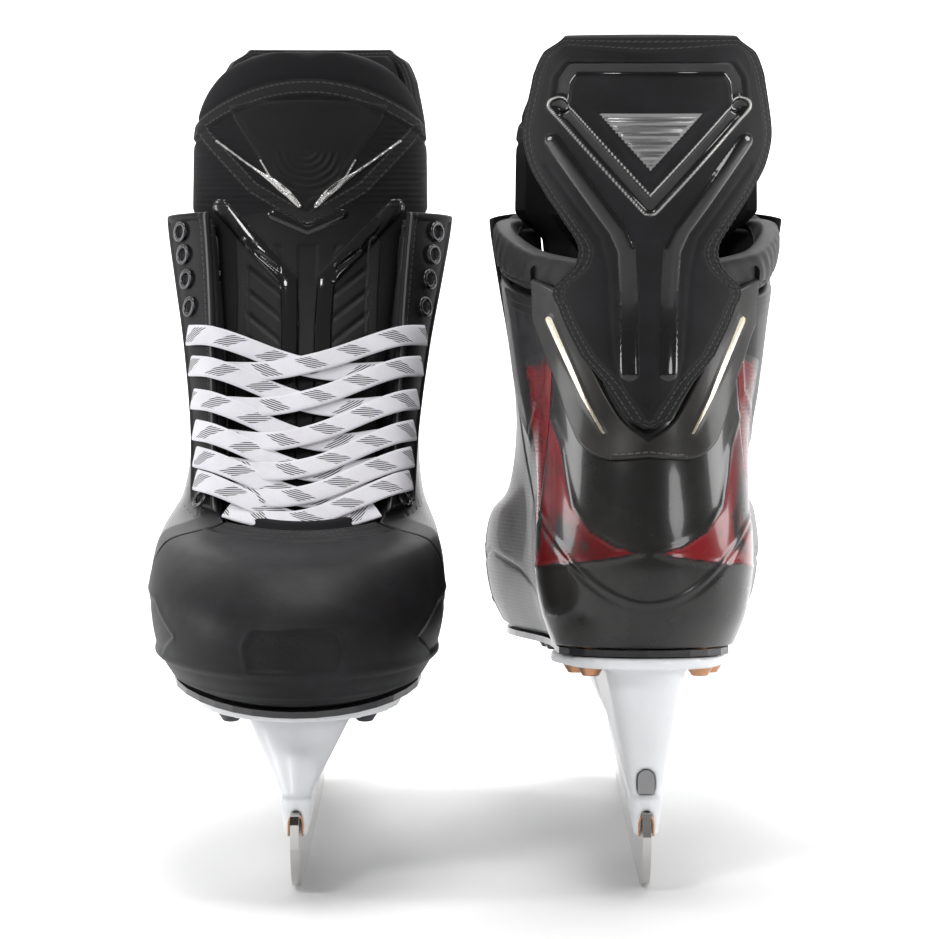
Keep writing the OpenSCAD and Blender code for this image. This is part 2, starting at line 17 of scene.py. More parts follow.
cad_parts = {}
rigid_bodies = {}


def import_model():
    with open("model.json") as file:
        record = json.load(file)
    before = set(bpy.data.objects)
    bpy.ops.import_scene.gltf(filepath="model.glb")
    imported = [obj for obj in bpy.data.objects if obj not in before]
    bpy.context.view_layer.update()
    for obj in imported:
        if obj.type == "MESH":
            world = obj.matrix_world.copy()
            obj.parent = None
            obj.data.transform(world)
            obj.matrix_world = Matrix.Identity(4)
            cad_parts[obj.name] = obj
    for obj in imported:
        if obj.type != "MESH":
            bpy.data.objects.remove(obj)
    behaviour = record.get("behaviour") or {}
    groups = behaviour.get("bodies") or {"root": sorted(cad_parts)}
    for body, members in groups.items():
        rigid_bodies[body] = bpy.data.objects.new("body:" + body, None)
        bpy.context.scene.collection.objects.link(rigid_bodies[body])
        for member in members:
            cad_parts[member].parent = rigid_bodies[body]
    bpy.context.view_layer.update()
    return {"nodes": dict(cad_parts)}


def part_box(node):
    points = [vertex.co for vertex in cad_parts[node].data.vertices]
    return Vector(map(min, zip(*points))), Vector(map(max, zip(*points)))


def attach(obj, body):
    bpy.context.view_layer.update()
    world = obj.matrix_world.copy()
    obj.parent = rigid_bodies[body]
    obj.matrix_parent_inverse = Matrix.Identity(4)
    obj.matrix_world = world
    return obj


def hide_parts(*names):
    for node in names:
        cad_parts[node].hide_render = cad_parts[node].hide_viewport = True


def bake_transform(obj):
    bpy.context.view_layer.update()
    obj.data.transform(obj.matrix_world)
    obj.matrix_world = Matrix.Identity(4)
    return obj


bl_info = {
    "name": "Hockey Skates",
    "version": (1, 0, 0),
    "blender": (4, 5, 0),
    "location": "View3D > Sidebar > Skates",
    "description": "Builds a pair of laced ice hockey skates around their CAD frame",
    "category": "Object",
}

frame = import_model()
SIDES = ("right", "left")
MM = 0.001

# ---------------------------------------------------------------- sizes shared with the CAD model
BOOT_LEN, BOOT_W, CUFF_H = 286.0, 108.0, 150.0
SOLE_TOE_Z, SOLE_HEEL_Z = 67.0, 88.0
BALL_LEAN = 4.0
SHELL_T, LINER_T, GAP, NEST, PAD_T = 2.4, 2.0, 0.45, 1.2, 8.0
OUTSOLE_T, FLANGE_T = 2.8, 4.0
THROAT_LOW, THROAT_HIGH = 29.0, 37.0
TONGUE_T, GUARD_T, GUARD_OUT = 8.5, 3.2, 2.4 + 2 * GAP
EYELETS, LACED = 11, 7
LACE_W, LACE_T = 8.0, 1.3
RAIL_Z, RAIL_HALF = 20.5, 127.0
TOE_V, SHELL_V, CUFF_V, FOLD_V, TONGUE_V = 4.0, 7.05, 8.0, 8.2, 10.93
TOE_Y, SEAM, HEEL_HALF = 0.235, 0.9, 44.0
# Rings: front y, front z, back y, back z, half widths at heel, waist, ball and toe, end roundings.
RING = np.array([
    [0.472, 0.000, -0.455, 0.000, 0.300, 0.300, 0.425, 0.380, 0.14, 0.24],
    [0.506, 0.085, -0.485, 0.085, 0.345, 0.340, 0.480, 0.440, 0.15, 0.24],
    [0.498, 0.210, -0.493, 0.180, 0.370, 0.360, 0.500, 0.455, 0.16, 0.25],
    [0.425, 0.320, -0.488, 0.290, 0.365, 0.365, 0.480, 0.425, 0.17, 0.27],
    [0.290, 0.385, -0.474, 0.410, 0.340, 0.370, 0.425, 0.370, 0.19, 0.27],
    [0.205, 0.560, -0.455, 0.540, 0.305, 0.385, 0.405, 0.375, 0.21, 0.26],
    [0.120, 0.790, -0.442, 0.670, 0.285, 0.405, 0.430, 0.410, 0.23, 0.25],
    [0.060, 0.985, -0.440, 0.795, 0.290, 0.415, 0.465, 0.455, 0.24, 0.24],
    [0.030, 1.135, -0.446, 0.910, 0.300, 0.420, 0.490, 0.490, 0.25, 0.24],
    [0.020, 1.250, -0.458, 1.060, 0.315, 0.420, 0.490, 0.490, 0.25, 0.24],
    [0.015, 1.400, -0.475, 1.250, 0.335, 0.420, 0.490, 0.490, 0.25, 0.24],
    [0.010, 1.560, -0.496, 1.440, 0.350, 0.420, 0.490, 0.490, 0.25, 0.24],
])
PITCH = math.atan((SOLE_HEEL_Z - SOLE_TOE_Z) / (BOOT_LEN * 0.92))


# ---------------------------------------------------------------- the last
def mixed(a, b, t):
    return a + (b - a) * t


def held(x, low=0.0, high=1.0):
    return np.clip(x, low, high)


def smooth(low, high, x):
    """0 below low, 1 above high, smooth between."""
    t = held((np.asarray(x, float) - low) / (high - low))
    return t * t * (3 - 2 * t)


def unit(p):
    return p / np.maximum(np.linalg.norm(p, axis=-1, keepdims=True), 1e-9)


def curve(rows, t):
    """Smooth curve through the rows, one unit of t from each to the next."""
    rows = np.asarray(rows, float)
    n = len(rows) - 1
    t = np.asarray(t, float)
    i = np.clip(np.floor(t).astype(int), 0, n - 1)
    f = t - i
    a, b = rows[np.maximum(i - 1, 0)], rows[i]
    c, d = rows[i + 1], rows[np.minimum(i + 2, n)]
    if rows.ndim > 1:
        f = f[..., None]
    return 0.5 * (2 * b + (c - a) * f + (2 * a - 5 * b + 4 * c - d) * f ** 2
                  + (3 * b - a - 3 * c + d) * f ** 3)


def end_round(u, r):
    return np.where(u < r, np.sqrt(np.maximum(0, 1 - (1 - u / r) ** 2)), 1.0)


def plan_w(r, u):
    """Half width of ring r at share u of its length from the heel."""
    u3 = held(u) * 3
    i = np.clip(np.floor(u3).astype(int), 0, 2)
    f = u3 - i
    p = [r[..., 4 + k] for k in range(4)]
    pick = [np.choose(np.clip(i + k, 0, 3), p) for k in (-1, 0, 1, 2)]
    a, b, c, d = pick
    w = 0.5 * (2 * b + (c - a) * f + (2 * a - 5 * b + 4 * c - d) * f ** 2 + (3 * b - a - 3 * c + d) * f ** 3)
    return BOOT_W * w * end_round(u, r[..., 8]) * end_round(1 - u, r[..., 9])


def last0(angle, v):
    angle, v = np.broadcast_arrays(np.asarray(angle, float), np.asarray(v, float))
    r = curve(RING, v)
    a = np.radians(angle)
    u = (1 + np.cos(a)) / 2
    lean = BALL_LEAN * np.sin(np.pi * held(u)) ** 2 * u * held(1.6 - v / 5)
    z0, z1 = SOLE_HEEL_Z + r[..., 3] * CUFF_H, SOLE_TOE_Z + r[..., 1] * CUFF_H
    return np.stack([plan_w(r, u) * np.sign(np.sin(a)) + lean, mixed(r[..., 2], r[..., 0], u) * BOOT_LEN,
                     mixed(z0, z1, u)], -1)


def last_normal(angle, v):
    d, e = 2.0, 0.1
    low = np.maximum(np.asarray(v, float) - e, 0)
    across = last0(angle + d, v) - last0(angle - d, v)
    up = last0(angle, low + 2 * e) - last0(angle, low)
    return unit(np.cross(up, across))


def last(angle, v, out=0.0):
    angle, v = np.broadcast_arrays(np.asarray(angle, float), np.asarray(v, float))
    return last0(angle, v) + last_normal(angle, v) * np.asarray(out, float)[..., None]


def angle_front(v, x):
    r = curve(RING, v)
    share = held(x / (BOOT_W * r[..., 7]), 0, 0.995)
    return np.degrees(np.arccos(held(1 - 2 * r[..., 9] * (1 - np.sqrt(1 - share ** 2)), -1, 1)))


def angle_back(v, x):
    r = curve(RING, v)
    share = held(x / (BOOT_W * r[..., 4]), 0, 0.995)
    return 180 - np.degrees(np.arccos(held(1 - 2 * r[..., 8] * (1 - np.sqrt(1 - share ** 2)), -1, 1)))


def angle_at_y(v, y):
    r = curve(RING, v)
    return np.degrees(np.arccos(held(2 * (y - r[..., 2]) / (r[..., 0] - r[..., 2]) - 1, -1, 1)))


def throat(v):
    return mixed(THROAT_LOW, THROAT_HIGH, held((np.asarray(v, float) - TOE_V) / (CUFF_V - TOE_V)))


def cap_angle(v):
    v = np.asarray(v, float)
    return angle_at_y(v, TOE_Y + 0.02 * (TOE_V - v) / TOE_V)


def front_edge(v):
    v = np.asarray(v, float)
    return np.maximum(cap_angle(v) + SEAM, np.where(v < TOE_V, 0, angle_front(v, throat(v))))


def from_front_edge(v, mm):
    v = np.asarray(v, float)
    r = curve(RING, v)
    at = mixed(r[..., 2], r[..., 0], (1 + np.cos(np.radians(front_edge(v)))) / 2)
    return angle_at_y(v, at - mm / BOOT_LEN)


def shell_top(angle):
    f = held((angle - front_edge(7.8) - 6) / 30)
    return mixed(CUFF_V - 0.05, SHELL_V, f * f * (3 - 2 * f))


def tongue_half(v):
    v = np.asarray(v, float)
    high = mixed(THROAT_HIGH + 3, BOOT_W * 0.475, held((v - 8) / 1.1)) - 6 * held(v - 10)
    return np.where(v < 8, throat(v) + 3, high)


def tongue_depth(e, v):
    return -(SHELL_T + NEST + LINER_T + 2 * GAP) - 4.6 * (1 - e ** 2) * held((8.6 - v) / 1.6)


def eyelet_v(i):
    return mixed(TOE_V + 0.22, CUFF_V - 0.25, (i / (EYELETS - 1)) ** 1.15)


def sole_z(y):
    return (SOLE_TOE_Z + SOLE_HEEL_Z) / 2 - y * math.tan(PITCH)


# ---------------------------------------------------------------- meshes from grids
class Grid:
    """A patch of a surface: points, running lengths along it (mm) and distances to its borders."""

    def __init__(self, surface, place, cols, rows, crowd=(0.5, 0.5)):
        s = np.linspace(0, 1, cols + 1)
        t = np.linspace(0, 1, rows + 1)
        s = s - crowd[0] * np.sin(2 * np.pi * s) / (2 * np.pi)
        t = t - crowd[1] * np.sin(2 * np.pi * t) / (2 * np.pi)
        self.s, self.t = np.meshgrid(s, t)
        self.a, self.b = place(self.s, self.t)
        self.surface = surface
        base = surface(self.a, self.b, 0.0)
        self.x, self.y, self.z = base[..., 0], base[..., 1], base[..., 2]
        step = np.linalg.norm(np.diff(base, axis=1), axis=-1)
        self.along = np.concatenate([np.zeros((rows + 1, 1)), np.cumsum(step, 1)], 1)
        step = np.linalg.norm(np.diff(base, axis=0), axis=-1)
        self.up = np.concatenate([np.zeros((1, cols + 1)), np.cumsum(step, 0)], 0)
        self.left, self.right = self.along, self.along[:, -1:] - self.along
        self.low, self.high = self.up, self.up[-1:, :] - self.up
        self.edge = np.minimum(np.minimum(self.left, self.right), np.minimum(self.low, self.high))
        middle = self.along[:, cols // 2][:, None]
        self.uv = np.stack([self.along - middle, self.up], -1)

    def at(self, out):
        return self.surface(self.a, self.b, out)


def rounded(d, r):
    """How far a surface drops within r of its border, as a quarter round."""
    d = held(d, 0, r)
    return r - np.sqrt(r * r - (r - d) ** 2)


def groove(d, width, depth):
    return -depth * np.exp(-(d / (0.5 * width)) ** 2)


def rib(d, width, height):
    return -groove(d, width, height)


class Shape:
    """Vertices (mm), faces, and a UV and named values for each vertex."""

    def __init__(self, verts, faces, uv=None, values=None):
        self.verts, self.faces = np.asarray(verts, float), faces
        self.uv = np.zeros((len(self.verts), 2)) if uv is None else np.asarray(uv, float)
        self.values = values or {}


def outward(verts, quads):
    a, b, c, d = (verts[quads[:, k]] for k in range(4))
    volume = (np.cross(a, b) * c).sum() + (np.cross(a, c) * d).sum()
    return quads if volume > 0 else quads[:, ::-1]


def closed(grid, outer, inner, values=None):
    """A closed sheet between two layers of points over one grid."""
    rows, cols = grid.s.shape
    count = rows * cols
    index = np.arange(count).reshape(rows, cols)
    top = np.stack([index[:-1, :-1], index[:-1, 1:], index[1:, 1:], index[1:, :-1]], -1).reshape(-1, 4)
    rim = np.concatenate([index[0, :-1], index[:-1, -1], index[-1, :0:-1], index[:0:-1, 0]])
    nxt = np.roll(rim, -1)
    sides = np.stack([nxt, rim, rim + count, nxt + count], -1)
    quads = np.concatenate([top, top[:, ::-1] + count, sides])
    verts = np.concatenate([outer.reshape(-1, 3), inner.reshape(-1, 3)])
    uv = np.concatenate([grid.uv.reshape(-1, 2)] * 2)
    both = {}
    for key, value in (values or {}).items():
        both[key] = np.concatenate([np.broadcast_to(value, grid.s.shape).reshape(-1)] * 2)
    return Shape(verts, outward(verts, quads), uv, both)


def strip(path, width_dir, width, thick, profile=8):
    """A flat strip with soft edges swept along a path; its UV runs across and along it in mm."""
    path = np.asarray(path, float)
    tangent = unit(np.gradient(path, axis=0))
    a = unit(width_dir - tangent * (width_dir * tangent).sum(-1, keepdims=True))
    b = np.cross(tangent, a)
    k = np.linspace(0, 2 * np.pi, 4 * profile, endpoint=False)
    px = np.sign(np.cos(k)) * np.abs(np.cos(k)) ** 0.35 * width / 2
    py = np.sign(np.sin(k)) * np.abs(np.sin(k)) ** 0.8 * thick / 2
    ring = path[:, None] + a[:, None] * px[:, None] + b[:, None] * py[:, None]
    n, m = ring.shape[:2]
    verts = np.concatenate([ring.reshape(-1, 3), path[[0, -1]]])
    index = np.arange(n * m).reshape(n, m)
    turned = np.roll(index, -1, 1)
    q = np.stack([index[:-1], turned[:-1], turned[1:], index[1:]], -1).reshape(-1, 4)
    caps = [[n * m, index[0, (i + 1) % m], index[0, i]] for i in range(m)]
    caps += [[n * m + 1, index[-1, i], index[-1, (i + 1) % m]] for i in range(m)]
    length = np.concatenate([[0], np.cumsum(np.linalg.norm(np.diff(path, axis=0), axis=1))])
    uv = np.concatenate([np.stack([np.tile(px, n), np.repeat(length, m)], -1), [[0, 0], [0, length[-1]]]])
    good = outward(verts, q)
    if good is not q:
        caps = [c[::-1] for c in caps]
    return Shape(verts, [*good.tolist(), *caps], uv)


def joined(shapes):
    faces, start = [], 0
    for shape in shapes:
        faces += [[int(i) + start for i in f] for f in shape.faces]
        start += len(shape.verts)
    keys = set().union(*(s.values for s in shapes))
    values = {k: np.concatenate([s.values.get(k, np.zeros(len(s.verts))) for s in shapes]) for k in keys}
    verts = np.concatenate([s.verts for s in shapes])
    return Shape(verts, faces, np.concatenate([s.uv for s in shapes]), values)


def side_x(side):
    low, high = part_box(f"{side}_runner")
    return (low.x + high.x) / 2


def placed(points, side):
    """Points of a skate's own frame (mm) in the row frame (m)."""
    turn = np.array([-1, -1, 1.0]) if side == "right" else np.array([-1, 1, 1.0])
    return np.asarray(points, float) * turn * MM + np.array([side_x(side), 0, 0])


def add_piece(name, side, shape, material, body="boot", replaces=(), sharp=50):
    """Makes the mesh of one side's piece, gives it its material and puts it on its body."""
    mesh = bpy.data.meshes.new(f"{side}_{name}")
    faces = shape.faces if isinstance(shape.faces, list) else shape.faces.tolist()
    if side == "left":
        faces = [f[::-1] for f in faces]
    mesh.from_pydata(placed(shape.verts, side).tolist(), [], faces)
    corner = np.zeros(len(mesh.loops), np.int32)
    mesh.loops.foreach_get("vertex_index", corner)
    layer = mesh.uv_layers.new(name="UVMap")
    layer.data.foreach_set("uv", (shape.uv[corner] * MM * 10).astype(np.float32).ravel())
    for key, value in shape.values.items():
        mesh.attributes.new(key, "FLOAT", "POINT").data.foreach_set("value", np.asarray(value, np.float32))
    mesh.shade_smooth()
    mesh.set_sharp_from_angle(angle=math.radians(sharp))
    mesh.materials.append(material)
    obj = bpy.data.objects.new(f"{side}_{name}", mesh)
    bpy.context.scene.collection.objects.link(obj)
    finish_piece(obj, side, body, replaces)
    return obj


def finish_piece(obj, side, body, replaces=()):
    if body:
        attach(obj, f"{side}_{body}")
    if replaces:
        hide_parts(*[f"{side}_{node}" for node in replaces])


# ---------------------------------------------------------------- shader maths
class Sock:
    """A socket of a material's tree that Python's operators can be used on."""

    def __init__(self, tree, socket):
        self.tree, self.socket = tree, socket

    def math(self, operation, *values, clamp=False):
        return self.tree.add("ShaderNodeMath", {"operation": operation, "use_clamp": clamp},
                             dict(enumerate(values)))

    def __add__(self, other):
        return self.math("ADD", self, other)

    def __sub__(self, other):
        return self.math("SUBTRACT", self, other)

    def __rsub__(self, other):
        return self.math("SUBTRACT", other, self)

    def __mul__(self, other):
        return self.math("MULTIPLY", self, other)

    def __truediv__(self, other):
        return self.math("DIVIDE", self, other)

    def __neg__(self):
        return self.math("MULTIPLY", self, -1.0)

    def __pow__(self, other):
        return self.math("POWER", self, other)

    def __abs__(self):
        return self.math("ABSOLUTE", self)

    __radd__, __rmul__ = __add__, __mul__

    def mod(self, period):
        return self.math("FLOORED_MODULO", self, period)

    def sin(self):
        return self.math("SINE", self)

    def most(self, other):
        return self.math("MAXIMUM", self, other)

    def step(self, low, high):
        """0 below low and 1 above high, smooth between; the other way round if high is below low."""
        values = {"Value": self, "From Min": min(low, high), "From Max": max(low, high)}
        values["To Min"], values["To Max"] = (0.0, 1.0) if low < high else (1.0, 0.0)
        return self.tree.add("ShaderNodeMapRange", {"interpolation_type": "SMOOTHSTEP"}, values)

    def band(self, middle, half, soft=0.12):
        return abs(self - middle).step(half + soft, half - soft)


class Surface:
    """A material, built from named coordinates, patterns and one Principled shader."""

    def __init__(self, name):
        self.material = bpy.data.materials.new(name)
        self.material.use_nodes = True
        self.nodes, self.links = self.material.node_tree.nodes, self.material.node_tree.links
        self.nodes.clear()
        self.place = 0

    def add(self, kind, settings=None, values=None, output=0):
        node = self.nodes.new(kind)
        self.place += 1
        node.location = (180 * (self.place // 8), -240 * (self.place % 8))
        for key, value in (settings or {}).items():
            if key == "stops":
                self.set_stops(node.color_ramp, value)
            else:
                setattr(node, key, value)
        for key, value in (values or {}).items():
            if isinstance(value, Sock):
                self.links.new(value.socket, node.inputs[key])
            else:
                node.inputs[key].default_value = value
        return Sock(self, node.outputs[output])

    @staticmethod
    def set_stops(ramp, stops):
        while len(ramp.elements) < len(stops):
            ramp.elements.new(0.5)
        for element, (at, color) in zip(ramp.elements, stops):
            element.position, element.color = at, color

    def spot(self):
        return self.add("ShaderNodeTexCoord", output="Object")

    def uv(self):
        return self.add("ShaderNodeUVMap", {"uv_map": "UVMap"})

    def split(self, vector):
        node = self.add("ShaderNodeSeparateXYZ", values={0: vector}).socket.node
        return [Sock(self, out) for out in node.outputs]

    def across(self):
        """UV in millimetres, across and along the piece."""
        x, y, _ = self.split(self.uv())
        return x * 100.0, y * 100.0

    def value(self, name):
        return self.add("ShaderNodeAttribute", {"attribute_name": name}, output="Fac")

    def noise(self, vector, scale, detail=3.0, rough=0.5):
        return self.add("ShaderNodeTexNoise", values={"Vector": vector, "Scale": scale, "Detail": detail,
                                                      "Roughness": rough})

    def cells(self, vector, scale, feature="F1"):
        return self.add("ShaderNodeTexVoronoi", {"feature": feature}, {"Vector": vector, "Scale": scale})

    def mix(self, a, b, share):
        """Colour a, turning to colour b by share."""
        values = {6: rgba(a), 7: rgba(b), 0: share}
        return self.add("ShaderNodeMix", {"data_type": "RGBA"}, values, 2)

    def bumped(self, height, distance, strength=1.0, normal=None):
        values = {"Height": height, "Distance": distance * MM, "Strength": strength}
        if normal is not None:
            values["Normal"] = normal
        return self.add("ShaderNodeBump", values=values)

    def finish(self, **inputs):
        """Ends the material in one Principled shader; a name's underscores stand for spaces."""
        values = {key.replace("_", " "): rgba(value) if "Color" in key or "Tint" in key else value
                  for key, value in inputs.items()}
        shader = self.add("ShaderNodeBsdfPrincipled", values=values)
        out = self.nodes.new("ShaderNodeOutputMaterial")
        self.links.new(shader.socket, out.inputs["Surface"])
        return self.material


def rgba(color):
    return color if isinstance(color, Sock) or len(color) == 4 else (*color, 1.0)


def grey(level, warm=0.0):
    return (level * (1 + warm), level, level * (1 - warm))


# ---------------------------------------------------------------- weaves, grains and stitches
def weave(x, y, pitch, deep=0.6):
    """Height of a plain weave of threads a pitch apart: 0 in the gaps, 1 on the threads."""
    a = (x * (math.pi / pitch)).sin()
    b = (y * (math.pi / pitch)).sin()
    over = (a * b).step(-0.35, 0.35)
    warp = abs(a) ** deep
    weft = abs(b) ** deep
    return warp * over + weft * (1 - over)


def stitches(x_off, along, pitch, length, thread):
    """Mask of a row of stitches: x_off is the distance from the row, along runs with it."""
    lane = abs(x_off).step(thread * 0.62, thread * 0.38)
    beat = abs(along.mod(pitch) - pitch / 2).step(length / 2 + 0.12, length / 2 - 0.12)
    return lane * beat


def leather(surface, spot, size=900.0):
    """Height of a fine pebbled grain."""
    coarse = surface.cells(spot, size, "SMOOTH_F1")
    fine = surface.noise(spot, size * 2.2, 2.0)
    return coarse * 0.7 + fine * 0.3


# ---------------------------------------------------------------- lines drawn on a piece
def to_line(x, z, points):
    """Distance from (x, z) to a line through the points, and how far along it the nearest place is."""
    best = np.full(np.shape(x), 1e9)
    run = np.zeros(np.shape(x))
    length = 0.0
    for (x0, z0), (x1, z1) in zip(points, points[1:]):
        size = math.hypot(x1 - x0, z1 - z0)
        share = held(((x - x0) * (x1 - x0) + (z - z0) * (z1 - z0)) / size ** 2)
        d = np.hypot(x - x0 - share * (x1 - x0), z - z0 - share * (z1 - z0))
        run = np.where(d < best, length + share * size, run)
        best = np.minimum(best, d)
        length += size
    return best, run


def to_shape(x, z, points):
    """Signed distance from (x, z) to a closed outline, negative inside."""
    d, _ = to_line(x, z, [*points, points[0]])
    inside = np.zeros(np.shape(x), bool)
    for (x0, z0), (x1, z1) in zip(points, [*points[1:], points[0]]):
        if z0 != z1:
            crossing = (z0 > z) != (z1 > z)
            inside ^= crossing & (x < (x1 - x0) * (z - z0) / (z1 - z0) + x0)
    return np.where(inside, -d, d)


def table(z, rows):
    """Smooth value at height z between rows of (z, value), from the lowest row up."""
    rows = np.asarray(rows, float)
    at = np.interp(z, rows[:, 0], np.arange(len(rows)))
    return curve(rows[:, 1], at)


V_STEPS = np.linspace(0, 11, 441)
BACK_Z = last0(180.0, V_STEPS)[:, 2]
FRONT_Z = last0(0.0, V_STEPS)[:, 2]


def v_at_back(z):
    return np.interp(z, BACK_Z, V_STEPS)


# ---------------------------------------------------------------- finishes
def cap_finish(color):
    """Fine-grained matte moulding with a smooth line round it and stitches along its rear edge."""
    s = Surface("toe_cap")
    spot = s.spot()
    grain = leather(s, spot, 1500.0)
    seam = s.value("seam")
    along, _ = s.across()
    sewn = stitches(seam - 2.6, along, 2.6, 1.9, 0.62).most(stitches(seam - 5.2, along + 1.3, 2.6, 1.9, 0.62))
    hatch = s.value("hatch").step(0.4, 0.6)
    x, _, z = s.split(spot)
    holes = weave(x * 1000.0, z * 1000.0, 0.95)
    worn = s.noise(spot, 46.0, 5.0, 0.62)
    base = s.mix(color, [c * 1.9 for c in color], worn.step(0.38, 0.75))
    base = s.mix(base, grey(0.012), hatch * (1 - holes.step(0.25, 0.6)))
    base = s.mix(base, grey(0.035), sewn)
    rough = 0.56 - 0.12 * worn + 0.1 * sewn
    bump = s.bumped(grain * (1 - hatch) + holes * hatch * 2.4, 0.10, 0.6)
    bump = s.bumped(sewn, 0.35, 0.9, bump)
    return s.finish(Base_Color=base, Roughness=rough, Normal=bump, Specular_IOR_Level=0.18)


def shell_finish(color, red):
    """Composite weave of the quarters, with sewn lines, and a glossy red flare towards the heel."""
    s = Surface("shell")
    spot = s.spot()
    across, up = s.across()
    cloth = weave(across + up, up - across, 1.5)
    grain = leather(s, spot, 1300.0)
    skin = s.value("skin").step(0.35, 0.65)
    seam = s.value("seam")
    run = s.value("run")
    sewn = stitches(abs(seam) - 1.5, run, 2.7, 2.0, 0.6)
    pipe = s.value("pipe").step(0.75, 0.45)
    worn = s.noise(spot, 40.0, 4.0, 0.6)
    base = s.mix(color, [c * 2.1 for c in color], cloth * 0.5 + worn * 0.25)
    base = s.mix(base, [c * 1.4 for c in color], skin * worn.step(0.2, 0.8))
    long_way = s.add("ShaderNodeVectorMath", {"operation": "MULTIPLY"}, {0: spot, 1: (70.0, 26.0, 60.0)})
    flame = s.noise(long_way, 1.0, 4.0, 0.55)
    flare = (s.value("red") + (flame - 0.5) * 34.0).step(1.2, -1.6)
    base = s.mix(base, s.mix(red, [c * 0.3 for c in red], worn.step(0.4, 0.7)), flare)
    base = s.mix(base, grey(0.03), sewn)
    base = s.mix(base, grey(0.35), pipe)
    rough = 0.3 + 0.2 * skin + 0.12 * worn + 0.05 * sewn - 0.1 * flare
    height = cloth * (1 - skin) * 1.1 + grain * skin * 1.2
    bump = s.bumped(sewn, 0.3, 0.9, s.bumped(height, 0.09, 0.6))
    return s.finish(Base_Color=base, Roughness=rough, Normal=bump, Specular_IOR_Level=0.22, Coat_Weight=0.1)


def heel_finish(color, red):
    """Glossy smoky shell with deep red panels that curl in under the heel."""
    s = Surface("heel_shell")
    spot = s.spot()
    panel = s.value("red")
    smoke = s.noise(spot, 26.0, 5.0, 0.62)
    long_way = s.add("ShaderNodeVectorMath", {"operation": "MULTIPLY"}, {0: spot, 1: (90.0, 90.0, 24.0)})
    streak = s.noise(long_way, 1.0, 4.0, 0.6)
    base = s.mix(color, [c * 2.6 for c in color], smoke.step(0.35, 0.8))
    flames = panel.step(-2.5, -7.0) * streak.step(0.5, 0.56)
    mask = panel.step(0.5, -0.5) * (1 - flames)
    shade = s.mix(red, [c * 0.35 for c in red], smoke.step(0.42, 0.72))
    base = s.mix(base, shade, mask)
    line = s.value("line").step(0.7, 0.25)
    base = s.mix(base, grey(0.012), line)
    fine = s.noise(spot, 900.0, 2.0)
    bump = s.bumped(fine, 0.03, 0.25)
    return s.finish(Base_Color=base, Roughness=0.2 + 0.16 * smoke, Normal=bump, Coat_Weight=0.4,
                    Coat_Roughness=0.08, Specular_IOR_Level=0.25)


def frame_finish(color, accent):
    """Satin grey band with a champagne line and a sewn lower edge."""
    s = Surface("frame_band")
    spot = s.spot()
    grain = s.noise(spot, 1100.0, 2.0)
    cloudy = s.noise(spot, 60.0, 4.0)
    shine = s.value("accent").step(0.15, -0.15)
    along, _ = s.across()
    sewn = stitches(s.value("seam") - 1.7, along, 2.4, 1.7, 0.55)
    base = s.mix(color, [c * 0.45 for c in color], cloudy.step(0.3, 0.7))
    base = s.mix(base, accent, shine)
    base = s.mix(base, grey(0.09), sewn)
    bump = s.bumped(sewn, 0.3, 0.9, s.bumped(grain, 0.05, 0.4))
    return s.finish(Base_Color=base, Roughness=0.34 - 0.12 * shine + 0.08 * cloudy,
                    Metallic=0.9 * shine, Normal=bump, Coat_Weight=0.2, Coat_Roughness=0.14,
                    Specular_IOR_Level=0.25)


def guard_finish(color):
    """Satin moulding: woven border with two stitch rows, glossy ribs, ribbed metallic centre."""
    s = Surface("guard_plastic")
    spot = s.spot()
    x, _, z = s.split(spot)
    across, up = x * 1000.0, z * 1000.0
    edge = s.value("edge")
    run = s.value("run")
    border = edge.step(6.2, 5.8)
    cloth = weave(across, up, 0.8)
    sewn = stitches(edge - 2.0, run, 2.1, 1.5, 0.55).most(stitches(edge - 4.4, run + 1.0, 2.1, 1.5, 0.55))
    gloss = s.value("gloss").step(0.25, 0.75)
    metal = s.value("metal").step(0.4, 0.6)
    bright = s.value("bright").step(0.3, 0.8)
    grain = leather(s, spot, 1600.0)
    cloudy = s.noise(spot, 55.0, 4.0)
    base = s.mix(color, [c * 1.7 for c in color], cloudy.step(0.3, 0.75))
    base = s.mix(base, grey(0.018), border * cloth)
    base = s.mix(base, grey(0.06), sewn)
    base = s.mix(base, grey(0.004), gloss)
    base = s.mix(base, grey(0.26), metal)
    base = s.mix(base, grey(0.55, 0.03), bright)
    rough = 0.52 - 0.36 * gloss - 0.2 * metal - 0.22 * bright + 0.06 * cloudy
    height = grain * (1 - gloss) * (1 - border) + cloth * border * 2.0
    bump = s.bumped(sewn, 0.3, 0.9, s.bumped(height, 0.09, 0.55))
    return s.finish(Base_Color=base, Roughness=rough, Metallic=metal * 0.85 + bright * 0.8, Normal=bump,
                    Coat_Weight=gloss * 0.8, Specular_IOR_Level=0.16)


